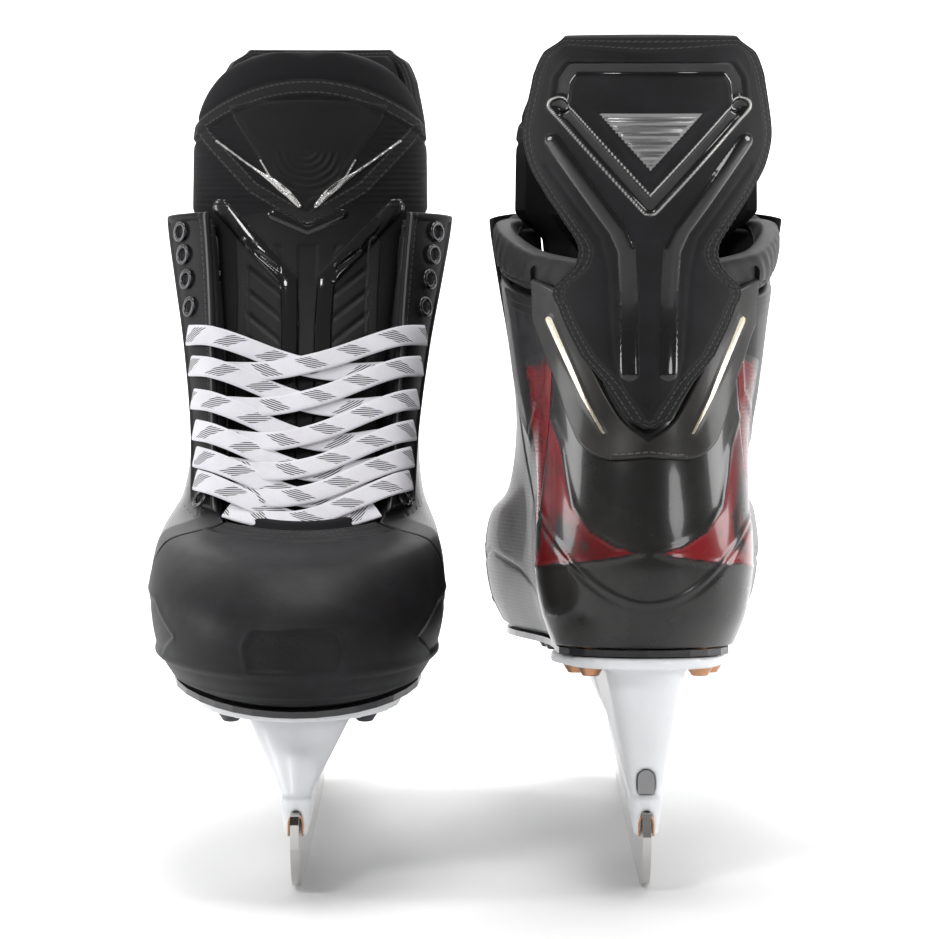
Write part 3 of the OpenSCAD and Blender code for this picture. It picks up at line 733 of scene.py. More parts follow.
def tongue_finish(color):
    """Padded textile, sewn bands, chrome accents and glossy ribs of the tongue."""
    s = Surface("tongue")
    spot = s.spot()
    x, _, z = s.split(spot)
    across, up = x * 1000.0, z * 1000.0
    band = s.value("band").step(0.4, 0.6)
    gloss = s.value("gloss").step(0.25, 0.75)
    chrome = s.value("chrome").step(0.2, -0.2)
    moulded = s.value("moulded").step(0.4, 0.6)
    row = s.value("row")
    run = s.value("run")
    sewn = stitches(abs(row) - 1.9, run, 2.3, 1.7, 0.6)
    cloth = weave(across, up, 0.85)
    knit = weave(across * 0.7 + up * 0.7, up * 0.7 - across * 0.7, 0.75)
    grain = leather(s, spot, 1500.0)
    cloudy = s.noise(spot, 50.0, 4.0)
    base = s.mix(color, [c * 1.8 for c in color], knit * 0.45 + cloudy * 0.3)
    base = s.mix(base, grey(0.011), moulded)
    base = s.mix(base, grey(0.022), band * cloth)
    base = s.mix(base, grey(0.06), sewn * (1 - moulded))
    base = s.mix(base, grey(0.004), gloss)
    base = s.mix(base, grey(0.62, 0.02), chrome)
    rough = 0.72 - 0.24 * moulded - 0.4 * gloss - 0.5 * chrome + 0.05 * cloudy
    soft = (1 - moulded) * (1 - band)
    height = knit * soft * 1.6 + cloth * band * 2.2 + grain * moulded
    bump = s.bumped(sewn, 0.32, 0.9, s.bumped(height, 0.09, 0.6))
    return s.finish(Base_Color=base, Roughness=rough.most(0.12), Metallic=chrome * 0.95, Normal=bump,
                    Coat_Weight=gloss * 0.8, Specular_IOR_Level=0.18)


def facing_finish(color):
    """Smooth facing beside the lacing, with a pale cord and stitches near its free edge."""
    s = Surface("facing")
    spot = s.spot()
    along = s.value("run")
    edge = s.value("edge")
    grain = leather(s, spot, 1400.0)
    worn = s.noise(spot, 60.0, 4.0)
    pipe = abs(edge - 1.4).step(0.6, 0.25)
    sewn = stitches(edge - 3.9, along, 2.5, 1.8, 0.6)
    base = s.mix(color, [c * 1.8 for c in color], worn.step(0.3, 0.8))
    base = s.mix(base, grey(0.14), pipe)
    base = s.mix(base, grey(0.05), sewn)
    bump = s.bumped(sewn + pipe, 0.3, 0.8, s.bumped(grain, 0.07, 0.5))
    return s.finish(Base_Color=base, Roughness=0.42 + 0.14 * worn, Normal=bump, Specular_IOR_Level=0.18)


def cloth_finish(name, color, pitch, rough=0.85):
    """Woven or brushed textile."""
    s = Surface(name)
    spot = s.spot()
    across, up = s.across()
    cloth = weave(across, up, pitch)
    fuzz = s.noise(spot, 1400.0, 3.0, 0.7)
    cloudy = s.noise(spot, 45.0, 4.0)
    base = s.mix([c * 0.6 for c in color], [c * 1.5 for c in color], cloth * 0.6 + cloudy * 0.4)
    bump = s.bumped(fuzz, 0.06, 0.4, s.bumped(cloth, 0.14, 0.7))
    return s.finish(Base_Color=base, Roughness=rough + 0.08 * fuzz, Normal=bump, Sheen_Weight=0.04,
                    Sheen_Roughness=0.45, Specular_IOR_Level=0.16)


def collar_finish(color):
    """Soft matte padding with a sewn lower seam."""
    s = Surface("collar")
    spot = s.spot()
    grain = leather(s, spot, 1200.0)
    cloudy = s.noise(spot, 60.0, 4.0)
    sewn = stitches(s.value("edge") - 3.0, s.value("run"), 2.8, 2.0, 0.65)
    base = s.mix(color, [c * 1.6 for c in color], cloudy.step(0.3, 0.8))
    base = s.mix(base, grey(0.07), sewn)
    bump = s.bumped(sewn, 0.3, 0.9, s.bumped(grain, 0.1, 0.6))
    return s.finish(Base_Color=base, Roughness=0.52 + 0.1 * cloudy, Normal=bump, Specular_IOR_Level=0.22)


def lace_finish(color, fleck):
    """Flat woven lace with flecks of dark thread in slanting groups."""
    s = Surface("lace")
    across, along = s.across()
    cloth = weave(across + along, along - across, 0.62)
    chevron = (along - abs(across) * 0.9).mod(1.1)
    rib_height = abs(chevron - 0.55)
    slant = (along + across * 1.1).mod(17.0)
    group = slant.step(4.6, 5.0) * slant.step(11.4, 11.0)
    dash = (across * 2.2 + along * 1.2).mod(2.1).step(0.9, 1.15)
    inner = abs(across).step(3.0, 2.6)
    marks = group * dash * inner
    stain = s.noise(s.spot(), 70.0, 4.0)
    base = s.mix(color, [c * 0.86 for c in color], stain.step(0.35, 0.8))
    base = s.mix(base, [c * 0.62 for c in color], (1 - cloth) * 0.5)
    base = s.mix(base, fleck, marks)
    bump = s.bumped(cloth + rib_height, 0.16, 0.7)
    return s.finish(Base_Color=base, Roughness=0.62 + 0.14 * stain, Normal=bump, Sheen_Weight=0.2)


def holder_finish(color):
    """White satin nylon with a fine moulded texture and faint scuffs."""
    s = Surface("holder")
    spot = s.spot()
    fine = s.noise(spot, 1300.0, 2.0)
    cloudy = s.noise(spot, 30.0, 4.0)
    long_way = s.add("ShaderNodeVectorMath", {"operation": "MULTIPLY"}, {0: spot, 1: (260.0, 14.0, 420.0)})
    scuffs = s.noise(long_way, 1.0, 5.0, 0.7).step(0.66, 0.72)
    base = s.mix(color, [c * 0.93 for c in color], cloudy.step(0.3, 0.8))
    base = s.mix(base, [c * 0.8 for c in color], scuffs * 0.5)
    bump = s.bumped(fine, 0.03, 0.35)
    return s.finish(Base_Color=base, Roughness=0.33 + 0.1 * cloudy + 0.15 * scuffs, Normal=bump,
                    Coat_Weight=0.1, Subsurface_Weight=0.04, Subsurface_Radius=(0.002, 0.002, 0.002))


def steel_finish(name, color, rough, metallic=1.0, grind=(20.0, 20.0, 1400.0)):
    """Ground or polished metal; grind stretches the scratches."""
    s = Surface(name)
    spot = s.spot()
    way = s.add("ShaderNodeVectorMath", {"operation": "MULTIPLY"}, {0: spot, 1: grind})
    lines = s.noise(way, 1.0, 4.0, 0.65)
    cloudy = s.noise(spot, 70.0, 3.0)
    base = s.mix([c * 0.78 for c in color], color, lines * 0.6 + cloudy * 0.4)
    bump = s.bumped(lines, 0.02, 0.35)
    return s.finish(Base_Color=base, Roughness=rough * 0.7 + rough * 0.6 * lines, Metallic=metallic,
                    Normal=bump)


def moulded_finish(name, color, rough, coat=0.2):
    """Plain moulded plastic or composite with a fine texture."""
    s = Surface(name)
    spot = s.spot()
    fine = leather(s, spot, 1500.0)
    cloudy = s.noise(spot, 40.0, 4.0)
    base = s.mix([c * 0.8 for c in color], [c * 1.3 for c in color], cloudy)
    bump = s.bumped(fine, 0.05, 0.4)
    return s.finish(Base_Color=base, Roughness=rough + 0.12 * cloudy, Normal=bump, Coat_Weight=coat)


# ---------------------------------------------------------------- boot pieces
def make_toe_cap(side, finish):
    def place(s, t):
        v = 0.02 + t * (TOE_V + 0.02)
        a = np.maximum(cap_angle(v) - SEAM * 0.5, 3)
        return a * (2 * s - 1), v

    g = Grid(last, place, 260, 120)
    ax, z = np.abs(g.x), g.z
    out = np.full(g.s.shape, 0.35) - rounded(g.high, 1.6) - 1.1 * smooth(2.5, 0, g.low)
    line = z - (81 + 3.0 * smooth(60, 130, -g.y + 120))
    out += rib(line, 2.4, 0.55) - 0.55 * smooth(-1.2, -3.2, line) + rib(line + 9, 1.8, 0.3)
    hatch = to_shape(ax, z, [(PAST, 82.5), (15, 82.5), (16.5, 90), (14, 95), (PAST, 95.5)])
    front = smooth(95, 108, g.y)
    out += front * (-0.55 * smooth(0.6, -0.6, hatch) + rib(hatch - 1.2, 1.6, 0.35))
    window = to_shape(g.y, z, [(58, 84), (98, 83), (112, 90), (92, 100), (62, 103)])
    flank = smooth(24, 31, ax)
    out += flank * (-0.8 * smooth(0.9, -0.9, window) + rib(window - 1.4, 1.8, 0.3))
    out += rib(g.high - 9.5, 2.2, 0.5) - 0.25 * smooth(8.5, 7.5, g.high)
    values = {"seam": g.high, "hatch": front * smooth(0.3, -0.9, hatch)}
    shape = closed(g, g.at(out), g.at(-SHELL_T), values)
    add_piece("toe_cap_moulding", side, shape, finish, replaces=["toe_cap"])


def make_vamp(side, finish):
    inset = SHELL_T + 1.5

    def place(s, t):
        v = mixed(0.35, TOE_V + 0.28, t)
        a = np.maximum(cap_angle(v), angle_front(v, THROAT_LOW)) + 1
        return a * (2 * s - 1), v

    g = Grid(last, place, 120, 60)
    out = -inset + rib(g.high - 2.5, 2.0, 0.35) - rounded(g.edge, 0.6)
    add_piece("vamp_cloth", side, closed(g, g.at(out), g.at(-inset - 1.3)), finish, replaces=["vamp"])


# Outlines on a quarter, as (y, z): the hollow over the ankle and the red flare near the heel.
ANKLE = [(-30, 214), (-52, 222), (-84, 222), (-104, 206), (-100, 176), (-74, 158), (-46, 168), (-30, 190)]
FLARE = [(-84, 186), (-104, 190), (-140, 180), (-142, 118), (-110, 100), (-84, 108), (-92, 140)]


def make_quarter(side, outer, finish):
    turn = 1 if outer else -1

    def place(s, t):
        v = 0.02 + t * shell_top(mixed(front_edge(7.8), 180 - HEEL_HALF, s))
        return turn * mixed(front_edge(v), 180 - HEEL_HALF - 0.5 * SEAM, s), v

    g = Grid(last, place, 210, 150)
    y, z = g.y, g.z
    # A moulded ankle panel, a foot panel and a band that runs down from the lacing to the heel.
    sweep, run = to_line(y, z, [(4, 236), (-26, 196), (-58, 150), (-96, 112), (-118, 92)])
    foot, foot_run = to_line(y, z, [(70, 96), (30, 106), (-20, 104), (-70, 96), (-112, 90)])
    hollow = to_shape(y, z, ANKLE)
    ankle = np.abs(hollow)
    out = -rounded(np.minimum(g.left, g.high), 1.3) - 0.8 * smooth(2.0, 0, g.low)
    out += groove(sweep, 2.2, 0.6) + groove(foot, 2.0, 0.5) + rib(ankle, 3.0, 0.5)
    out += 1.0 * smooth(4, -14, hollow) - 0.35 * smooth(16, 18, g.left)
    seam = np.minimum(np.minimum(sweep, foot), np.abs(g.high - 5.0))
    along = np.where(sweep < foot, run, foot_run)
    along = np.where(np.abs(g.high - 5.0) < np.minimum(sweep, foot), g.along, along)
    skin = np.maximum(smooth(2, -2, hollow), smooth(20, 17, g.left))
    skin = np.maximum(skin, smooth(7, 5, g.high))
    pipe = np.abs(np.minimum(np.abs(sweep - 5.5), 9.0)) + 30 * smooth(6, 26, np.abs(z - 196) - 18)
    red = to_shape(y, z, FLARE)
    skin = skin * smooth(-2, 4, red)
    values = {"seam": seam, "run": along, "skin": skin, "pipe": pipe, "red": red}
    shape = closed(g, g.at(out), g.at(-SHELL_T), values)
    name = "quarter_outer" if outer else "quarter_inner"
    add_piece(f"{name}_panel", side, shape, finish, replaces=[name])


# The red panel on each side of the heel: its inner curve, downwards, and its lower and outer edges.
HEEL_PANEL = [(46, 186), (39, 176), (33, 167), (29.5, 158), (28, 148), (26, 138), (20, 130), (11, 125),
              (2, 123.5), (9, 121.5), (19, 119.5), (32, 117), (44, 112), (60, 106), (60, 190)]


def make_heel(side, finish):
    def place(s, t):
        return mixed(180 - HEEL_HALF, 180 + HEEL_HALF, s), 0.02 + t * (SHELL_V - 0.02)

    g = Grid(last, place, 190, 170)
    ax, z = np.abs(g.x), g.z
    line = z - 105 - 0.02 * ax ** 2
    out = 0.1 - rounded(np.minimum(g.low, g.high), 1.2) + rib(line, 2.0, 0.5)
    out += 0.5 * smooth(-1.5, -4, line) - 0.4 * smooth(2, 0, np.minimum(g.left, g.right))
    panel = to_shape(ax, z, HEEL_PANEL)
    out += rib(panel, 1.8, 0.35)
    values = {"red": panel, "line": np.minimum(np.abs(line - 1.3), np.abs(panel + 0.2))}
    shape = closed(g, g.at(out), g.at(-SHELL_T), values)
    add_piece("heel_shell", side, shape, finish, replaces=["heel_counter"])


FRAME_LOW = [(0, 155.7), (13.5, 155.9), (21, 160), (25, 170), (32, 202), (45.5, 206.5), (62, 209)]
FRAME_HIGH = [(0, 161.5), (9, 170), (17, 186), (23, 204), (27, 214), (39, 219), (60, 223)]


def make_frame(side, finish):
    """The grey band that rises in a V from the heel to both ankles."""
    low, high = np.array(FRAME_LOW), np.array(FRAME_HIGH)
    v_low, v_high = v_at_back(low[:, 1] - low[:, 0] * 0.06), v_at_back(high[:, 1] - high[:, 0] * 0.06)

    def place(s, t):
        k = np.abs(2 * s - 1) * (len(low) - 1)
        x = mixed(curve(low[:, 0], k), curve(high[:, 0], k), t)
        v = mixed(curve(v_low, k), curve(v_high, k), t)
        r = curve(RING, v)
        x = np.minimum(x, BOOT_W * r[..., 4] * 1.02)
        flat = BOOT_W * r[..., 4] * 0.93
        a = 180 - angle_back(v, np.minimum(x, flat)) + np.maximum(x - flat, 0) * 2.2
        return 180 + np.sign(2 * s - 1) * a, v

    g = Grid(last, place, 240, 36, crowd=(0, 0.5))
    ax, z = np.abs(g.x), g.z
    accent, _ = to_line(ax, z, [(14.5, 163.4), (21, 176), (26.5, 189), (32.5, 203)])
    width = 0.35 + 0.75 * held((z - 163) / 40)
    out = GAP + 1.9 - rounded(np.minimum(g.low, g.high), 1.2) + rib(accent - width, 1.2, 0.25)
    out -= rounded(np.minimum(g.left, g.right), 1.2)
    values = {"accent": accent - width, "seam": g.low + 20 * smooth(12, 16, ax)}
    shape = closed(g, g.at(out), g.at(GAP), values)
    add_piece("heel_band", side, shape, finish, replaces=["heel_frame"])


# Half widths of the tendon guard at heights above the ice.
GUARD_SIDE = [(164, 0.6), (168, 6.7), (181, 13.1), (191, 19.4), (208, 25), (214, 26.0), (222, 21.6),
              (229, 20.5),
              (238, 24.5), (246, 28.5), (257, 32.5), (270, 34.3), (290, 33.2), (298, 31.0), (303, 26)]
# Outlines drawn on one half reach this far past the middle line, so that none ends on it.
PAST = -30
VEE = [(27.8, 279.5), (0, 244.0)]


def make_guard(side, finish):
    """The plate behind the ankle: rooted on the shell, it rises above the cuff."""
    top = BACK_Z[np.searchsorted(V_STEPS, 10.95)]

    def place(s, t):
        z = mixed(165, top, t)
        x = table(z, GUARD_SIDE)
        v = v_at_back(z)
        a = 180 - angle_back(v, x)
        return 180 + (2 * s - 1) * a, v

    g = Grid(last, place, 130, 240, crowd=(0.35, 0.2))
    ax, z = np.abs(g.x), g.z
    edge = np.minimum(np.minimum(g.left, g.right), g.high)
    slot, _ = to_line(ax, z, [(0, 292), (23.5, 292), (26, 288), (27, 279)])
    fan = to_shape(ax, z, [(PAST, 276.8), (15.3, 276.8), (0, 256.8), (PAST, 256.8)])
    bevel = to_shape(ax, z, [(PAST, 278), (17.5, 278), (0, 252.5), (PAST, 252.5)])
    vee, _ = to_line(ax, z, VEE)
    rail, _ = to_line(ax, z, [(29, 267), (9.2, 236), (6.6, 229), (5.8, 214), (5.4, 184)])
    outer_line, _ = to_line(ax, z, [(31, 258), (14.5, 233), (12.2, 222), (11.4, 206), (10.2, 190),
                                    (7.5, 177)])
    column = to_shape(ax, z, [(PAST, 232), (4.0, 232), (3.4, 214), (3.0, 182), (2.2, 174), (0, 171.5),
                              (PAST, 171.5)])
    waist = smooth(8.5, 5, edge) * smooth(207, 214, z) * smooth(246, 236, z)
    out = GUARD_OUT + GUARD_T - rounded(edge, 1.5) - 0.3 * smooth(6.4, 5.4, edge) * smooth(0.8, 1.6, edge)
    out += -1.2 * smooth(2.6, 1.6, slot) + rib(slot - 3.2, 1.3, 0.3)
    out += 0.45 * smooth(0.3, -0.5, bevel)
    out += 0.28 * np.sin(z * (2 * np.pi / 1.5)) * smooth(0, -0.6, fan)
    out += -0.9 * smooth(2.4, 1.5, vee) + rib(vee - 2.9, 1.1, 0.35)
    out += 0.95 * np.sqrt(held(1 - (rail / 2.5) ** 2)) * smooth(180, 184, z)
    out += groove(outer_line, 1.8, 0.45) - 0.35 * smooth(0.6, -0.6, column)
    out += 0.25 * np.sin(z * (2 * np.pi / 2.1)) * waist
    gloss = np.maximum(smooth(2.9, 2.3, rail) * smooth(178, 182, z), smooth(2.2, 1.6, vee))
    gloss = np.maximum(gloss, smooth(2.4, 1.6, slot) * 0.9)
    run = np.where(g.high < np.minimum(g.left, g.right), g.along, g.up)
    values = {"edge": edge, "run": run, "gloss": gloss,
              "metal": smooth(0.2, -0.4, fan), "bright": rib(vee - 2.6, 0.9, 0.8)}
    shape = closed(g, g.at(out), g.at(GUARD_OUT), values)
    obj = add_piece("guard_plate", side, shape, finish, body=None,
                    replaces=["guard_stem", "tendon_guard"])
    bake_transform(obj)


# ---------------------------------------------------------------- tongue
# The tongue is widest at one height and ends in a dome.
TONGUE_HALF, TONGUE_WIDE_Z = 53.0, 252.0
TONGUE_TOP_Z = float(np.interp(TONGUE_V, V_STEPS, FRONT_Z)) + 0.3


def make_tongue(side, finish):
    """Base and top in one padded piece."""
    def place(s, t):
        v = mixed(TOE_V - 0.55, TONGUE_V - 0.02, t)
        return 2 * s - 1, v

    def face(e, v, out):
        z = np.interp(v, V_STEPS, FRONT_Z)
        high = held((z - TONGUE_WIDE_Z) / (TONGUE_TOP_Z - TONGUE_WIDE_Z))
        dome = TONGUE_HALF * (1 - high ** 2.5) ** 0.4
        half = mixed(throat(v) + 3, dome, smooth(230, 243, z))
        a = np.sign(e) * angle_front(v, np.abs(e) * half)
        return last(a, v, tongue_depth(np.abs(e), v) + out)

    g = Grid(face, place, 190, 330, crowd=(0.2, 0.1))
    ax, z, e = np.abs(g.x), g.z, np.abs(2 * g.s - 1)
    arc = z - (285.8 - 13.8 * (ax / 41) ** 2)
    emblem = to_shape(ax, z, [(PAST, 281.3), (15, 280.8), (29.5, 278.8), (28, 274), (13, 251), (0, 239.3),
                              (PAST, 239.3)])
    chrome, _ = to_line(ax, z, [(34.4, 265.4), (24, 257.6), (13.2, 250), (7, 245), (3, 240.5)])
    branch, _ = to_line(ax, z, [(17.7, 258), (13.2, 250)])
    chrome_width = 0.3 + 1.0 * np.exp(-((ax - 9) / 6.5) ** 2)
    bar = np.minimum(chrome - chrome_width, branch - 0.3)
    lower, lower_run = to_line(ax, z, [(41, 269.5), (20.6, 247.5), (0, 235.2)])
    lip, _ = to_line(ax, z, [(13, 237.4), (0, 231.8)])
    rail, _ = to_line(ax, z, [(33, 240), (14, 219.5), (7.0, 212), (6.0, 196), (6.0, 150), (6.0, 130)])
    strip_mid = to_shape(ax, z, [(PAST, 226), (3.6, 226), (3.6, 120), (PAST, 120)])
    slats = smooth(9.5, 11, ax) * smooth(23.2, 22, ax) * smooth(228, 224, z + (ax - 9) * 0.3)
    slat = (z - (ax - 9) * 0.78) / 8.6
    cut = np.abs(slat - np.round(slat)) * 8.6
    column, _ = to_line(ax, z, [(25, 226), (24, 205), (24, 120)])
    scales = smooth(13, 10.5, ax) * smooth(243, 246, z) * smooth(262, 260, z)
    out = np.zeros(g.s.shape)
    out += 1.0 * smooth(-8, 6, z - 283) * (1 - e ** 4) + 0.5 * np.sin(np.pi * held((z - 288) / 13))
    out += 0.5 * smooth(3.3, 2.2, np.abs(arc)) - 0.5 * np.exp(-(np.abs(arc) - 3.6) ** 2)
    out += 0.8 * smooth(0.5, -0.7, emblem) - 0.35 * smooth(-1.4, -2.6, emblem)
    out += 1.1 * smooth(0.7, -0.5, bar)
    ribbed = smooth(2, 5, emblem) * smooth(238, 244, z) * smooth(276, 270, z) * smooth(0.98, 0.9, e)
    out += 0.24 * np.sin(z * (2 * np.pi / 2.2)) * ribbed
    out += 0.5 * smooth(3.0, 2.0, lower) + 0.9 * np.sqrt(held(1 - (lip / 2.0) ** 2))
    out += 1.3 * np.sqrt(held(1 - (rail / 3.3) ** 2)) - 0.4 * smooth(0.5, -0.4, strip_mid)
    out += slats * (0.9 * smooth(0.3, 1.8, cut) - 0.7)
    out += 0.5 * smooth(2.6, 1.8, column)
    out += 0.35 * np.sin((np.hypot(ax, z - 262) - 3) * (2 * np.pi / 2.6)) * scales
    out = out + 0.9 - 0.3 * TONGUE_T * e ** 8 - rounded(g.high, 3.0) * 1.1
    under = -TONGUE_T * (1 - 0.35 * e ** 6) + rounded(g.high, 3.0)
    gloss = np.maximum(smooth(3.6, 2.9, rail), smooth(2.4, 1.7, lip)) * smooth(119, 125, z)
    plate = np.maximum(smooth(26.6, 26.2, ax) * smooth(243, 240, z + 0.2 * ax) * smooth(140, 145, z),
                       smooth(0.3, -0.3, emblem))
    band = np.maximum(smooth(3.3, 2.8, np.abs(arc)), smooth(2.9, 2.4, lower))
    band = np.maximum(band, smooth(2.7, 2.3, column) * smooth(232, 228, z))
    row = np.where(np.abs(arc) < lower, arc, lower)
    values = {"gloss": gloss, "moulded": plate, "chrome": bar, "band": band, "row": row,
              "run": np.where(np.abs(arc) < lower, g.along, lower_run)}
    shape = closed(g, g.at(out), g.at(under), values)
    obj = add_piece("tongue_padding", side, shape, finish, body=None,
                    replaces=["tongue_base", "tongue_shield", "tongue_top", "tongue_badge"])
    low, high = FOLD_V - 0.25, FOLD_V + 0.25
    points = [last(0.0, v)[1:] for v in (low, high)]
    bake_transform(obj)


# ---------------------------------------------------------------- lining, padding and facing
def make_liner(side, finish):
    base = -SHELL_T - 1.2

    def place(s, t):
        b = np.abs(2 * s - 1)
        c = mixed(180.0, front_edge(7.8), b)
        v = mixed(0.3, shell_top(c) - 0.1, t)
        a = front_edge(v) + 2
        return mixed(a, 360 - a, s), v

    g = Grid(last, place, 200, 90)
    out = base - rounded(g.high, 0.9)
    inner = base - 2.0 + rounded(g.high, 0.9) + 0.25 * np.sin(g.up * 0.7) * smooth(6, 14, g.high)
    add_piece("lining", side, closed(g, g.at(out), g.at(inner)), finish, replaces=["liner"])


def make_collar(side, outer, finish):
    """A foam pad round the ankle, crowned and drawn in at its seam."""
    turn = 1 if outer else -1
    a0 = front_edge(CUFF_V) + 9

    def place(s, t):
        a = mixed(a0, 166, s)
        low = shell_top(a) + 0.12
        high = np.maximum(CUFF_V + 0.06 - 0.2 * s, low + 0.1)
        return turn * a, mixed(low, high, t)

    g = Grid(last, place, 150, 44, crowd=(0.4, 0.4))
    tall = np.maximum(g.up[-1:, :], 1)
    crown = np.sqrt(held(1 - (2 * g.up / tall - 1) ** 2, 0, 1))
    ends = np.sqrt(held(np.minimum(g.left, g.right) / 6))
    wrinkle = 0.25 * np.sin(g.along * 0.55 + 1.3 * np.sin(g.up * 0.3)) * crown
    out = -2.6 + 3.4 * crown ** 0.7 * ends + wrinkle - 0.8 * smooth(3.6, 2.6, g.low) * smooth(1.8, 2.6, g.low)
    inner = -PAD_T + 2.8 - 2.8 * crown ** 0.7 * ends
    values = {"edge": g.low, "run": g.along}
    name = "collar_pad_outer" if outer else "collar_pad_inner"
    obj = add_piece(f"{name}_cushion", side, closed(g, g.at(out), g.at(inner), values), finish,
                    replaces=[name])


def make_guard_pad(side, finish):
    def place(s, t):
        v = mixed(CUFF_V + 0.35, 10.8, t)
        z = np.interp(v, V_STEPS, BACK_Z)
        a = 180 - angle_back(v, 0.9 * table(z, GUARD_SIDE))
        return 180 + (2 * s - 1) * a, v

    g = Grid(last, place, 70, 90, crowd=(0.4, 0.4))
    edge = g.edge
    out = GUARD_OUT - GAP - rounded(edge, 1.5)
    quilt = 0.5 * np.abs(np.sin(g.up * np.pi / 14)) * smooth(2, 6, edge)
    inner = GUARD_OUT - GAP - 4.3 + rounded(edge, 2.0) + 0.5 - quilt
    obj = add_piece("guard_cushion", side, closed(g, g.at(out), g.at(inner)), finish, body="guard",
                    replaces=["tendon_pad"])


def make_eyestay(side, outer, finish):
    turn = 1 if outer else -1

    def place(s, t):
        v = mixed(TOE_V + 0.1, CUFF_V + 0.1, t)
        return turn * mixed(front_edge(v), from_front_edge(v, 19), s), v

    g = Grid(last, place, 44, 260, crowd=(0.2, 0.05))
    out = 2 * GAP + 1.2 - rounded(g.edge, 0.8) - 0.4 * smooth(2.6, 3.2, g.edge) + rib(g.edge - 1.6, 1.5, 0.3)
    values = {"edge": g.left, "run": g.up}
    name = "eyestay_outer" if outer else "eyestay_inner"
    add_piece(f"{name}_facing", side, closed(g, g.at(out), g.at(2 * GAP), values), finish,
              replaces=[name])


def make_footbed(side, finish):
    """Felt-topped foam, dished at the heel and raised under the arch."""
    inset = SHELL_T + 1.2 + 2.0 + 2 * GAP

    def at(angle, share, up):
        edge = last0(angle, 0.0)
        n = unit(last_normal(angle, 0.0) * np.array([1, 1, 0]))
        middle = np.stack([0 * angle, edge[..., 1] * 0.92, 0 * angle], -1)
        p = mixed(middle, edge - n * inset, share[..., None])
        p[..., 2] = sole_z(p[..., 1]) + GAP + 2.2 + up
        return p

    g = Grid(lambda a, b, out: at(a, b, out), lambda s, t: (360 * s, mixed(0.02, 1.0, t)), 120, 24)
    dish = 0.6 * (g.t ** 3) * smooth(40, -60, g.y)
    top = 3.4 - 1.0 * smooth(0.9, 1.0, g.t) - 0.6 + dish
    arch = 0.5 * smooth(0.2, 0.9, g.t) * np.exp(-((g.y + 10) / 40) ** 2) * (g.x < 0)
    index = np.arange(g.s.size).reshape(g.s.shape)[:, :-1]
    n = g.s.size
    upper, lower = g.at(top + arch).reshape(-1, 3), g.at(0 * top).reshape(-1, 3)
    nxt = np.roll(index, -1, 1)
    quads = np.stack([index[:-1], nxt[:-1], nxt[1:], index[1:]], -1).reshape(-1, 4)
    wall = np.stack([nxt[-1], index[-1], index[-1] + n, nxt[-1] + n], -1)
    verts = np.concatenate([upper, lower])
    faces = np.concatenate([quads, quads[:, ::-1] + n, wall[:, ::-1]])
    faces = outward(verts, faces).tolist()
    first = index[0].tolist()
    caps = [first[::-1], [i + n for i in first]]
    good = np.array(faces[0])
    if (np.cross(verts[good[1]] - verts[good[0]], verts[good[2]] - verts[good[0]])[2]) < 0:
        caps = [c[::-1] for c in caps]
    shape = Shape(verts, faces + caps, np.concatenate([upper[:, :2], lower[:, :2]]))
    used = sorted({i for f in shape.faces for i in f})
    renumber = {old: new for new, old in enumerate(used)}
    shape = Shape(verts[used], [[renumber[i] for i in f] for f in shape.faces], shape.uv[used])
    add_piece("insole", side, shape, finish, replaces=["footbed"])


# ---------------------------------------------------------------- laces
def lace_path(side, i):
    """Middle line and width directions of one span: side is the side that it leaves from."""
    va, vb = eyelet_v(i), eyelet_v(i + 1)
    shield_out = GAP + 0.25 + 1.4
    on_stay = 2 * GAP + 1.2 + 0.45 + 0.6 + GAP + 0.1 + LACE_T / 2
    over = shield_out + GAP + LACE_T / 2
    f = np.linspace(0, 1, 33)
    v = mixed(va, vb, f)
    x = side * (1 - 2 * f) * (throat(v) - np.where(f < 0.5, 2.4, -0.4))
    depth = tongue_depth(x / tongue_half(v), v) + over + (1.7 if side > 0 else 0) * np.sin(np.pi * f)
    rise = np.where(f > 0.5, (2 * f - 1) ** 3, 0.45 * (1 - 2 * f) ** 3)
    points = last(np.sign(x) * angle_front(v, np.abs(x)), v, mixed(depth, on_stay, rise))
    a = side * (1 - 2 * f) * 20
    widths = last0(a, v + 0.1) - last0(a, v - 0.1)
    for mm in (2, 4, 6, 8, 9.6):
        end = last(-side * from_front_edge(vb, mm), vb, on_stay - (0.5 if mm > 9 else 0))
        points = np.concatenate([points, end[None]])
        widths = np.concatenate([widths, widths[-1:]])
    return points, widths


def soften(points, times=2):
    """Takes the kinks out of a run of points and leaves its two ends."""
    for _ in range(times):
        points = np.concatenate([points[:1], (points[:-2] + 2 * points[1:-1] + points[2:]) / 4, points[-1:]])
    return points


def make_lace(side, finish):
    shapes = []
    for i in range(LACED - 1):
        for way in (1, -1):
            points, widths = lace_path(way, i)
            shape = strip(soften(points), soften(widths, 4), LACE_W, LACE_T, 6)
            shape.uv[:, 1] += 37.0 * i + (11.0 if way > 0 else 0)
            shapes.append(shape)
    add_piece("lacing", side, joined(shapes), finish, replaces=["lace"])


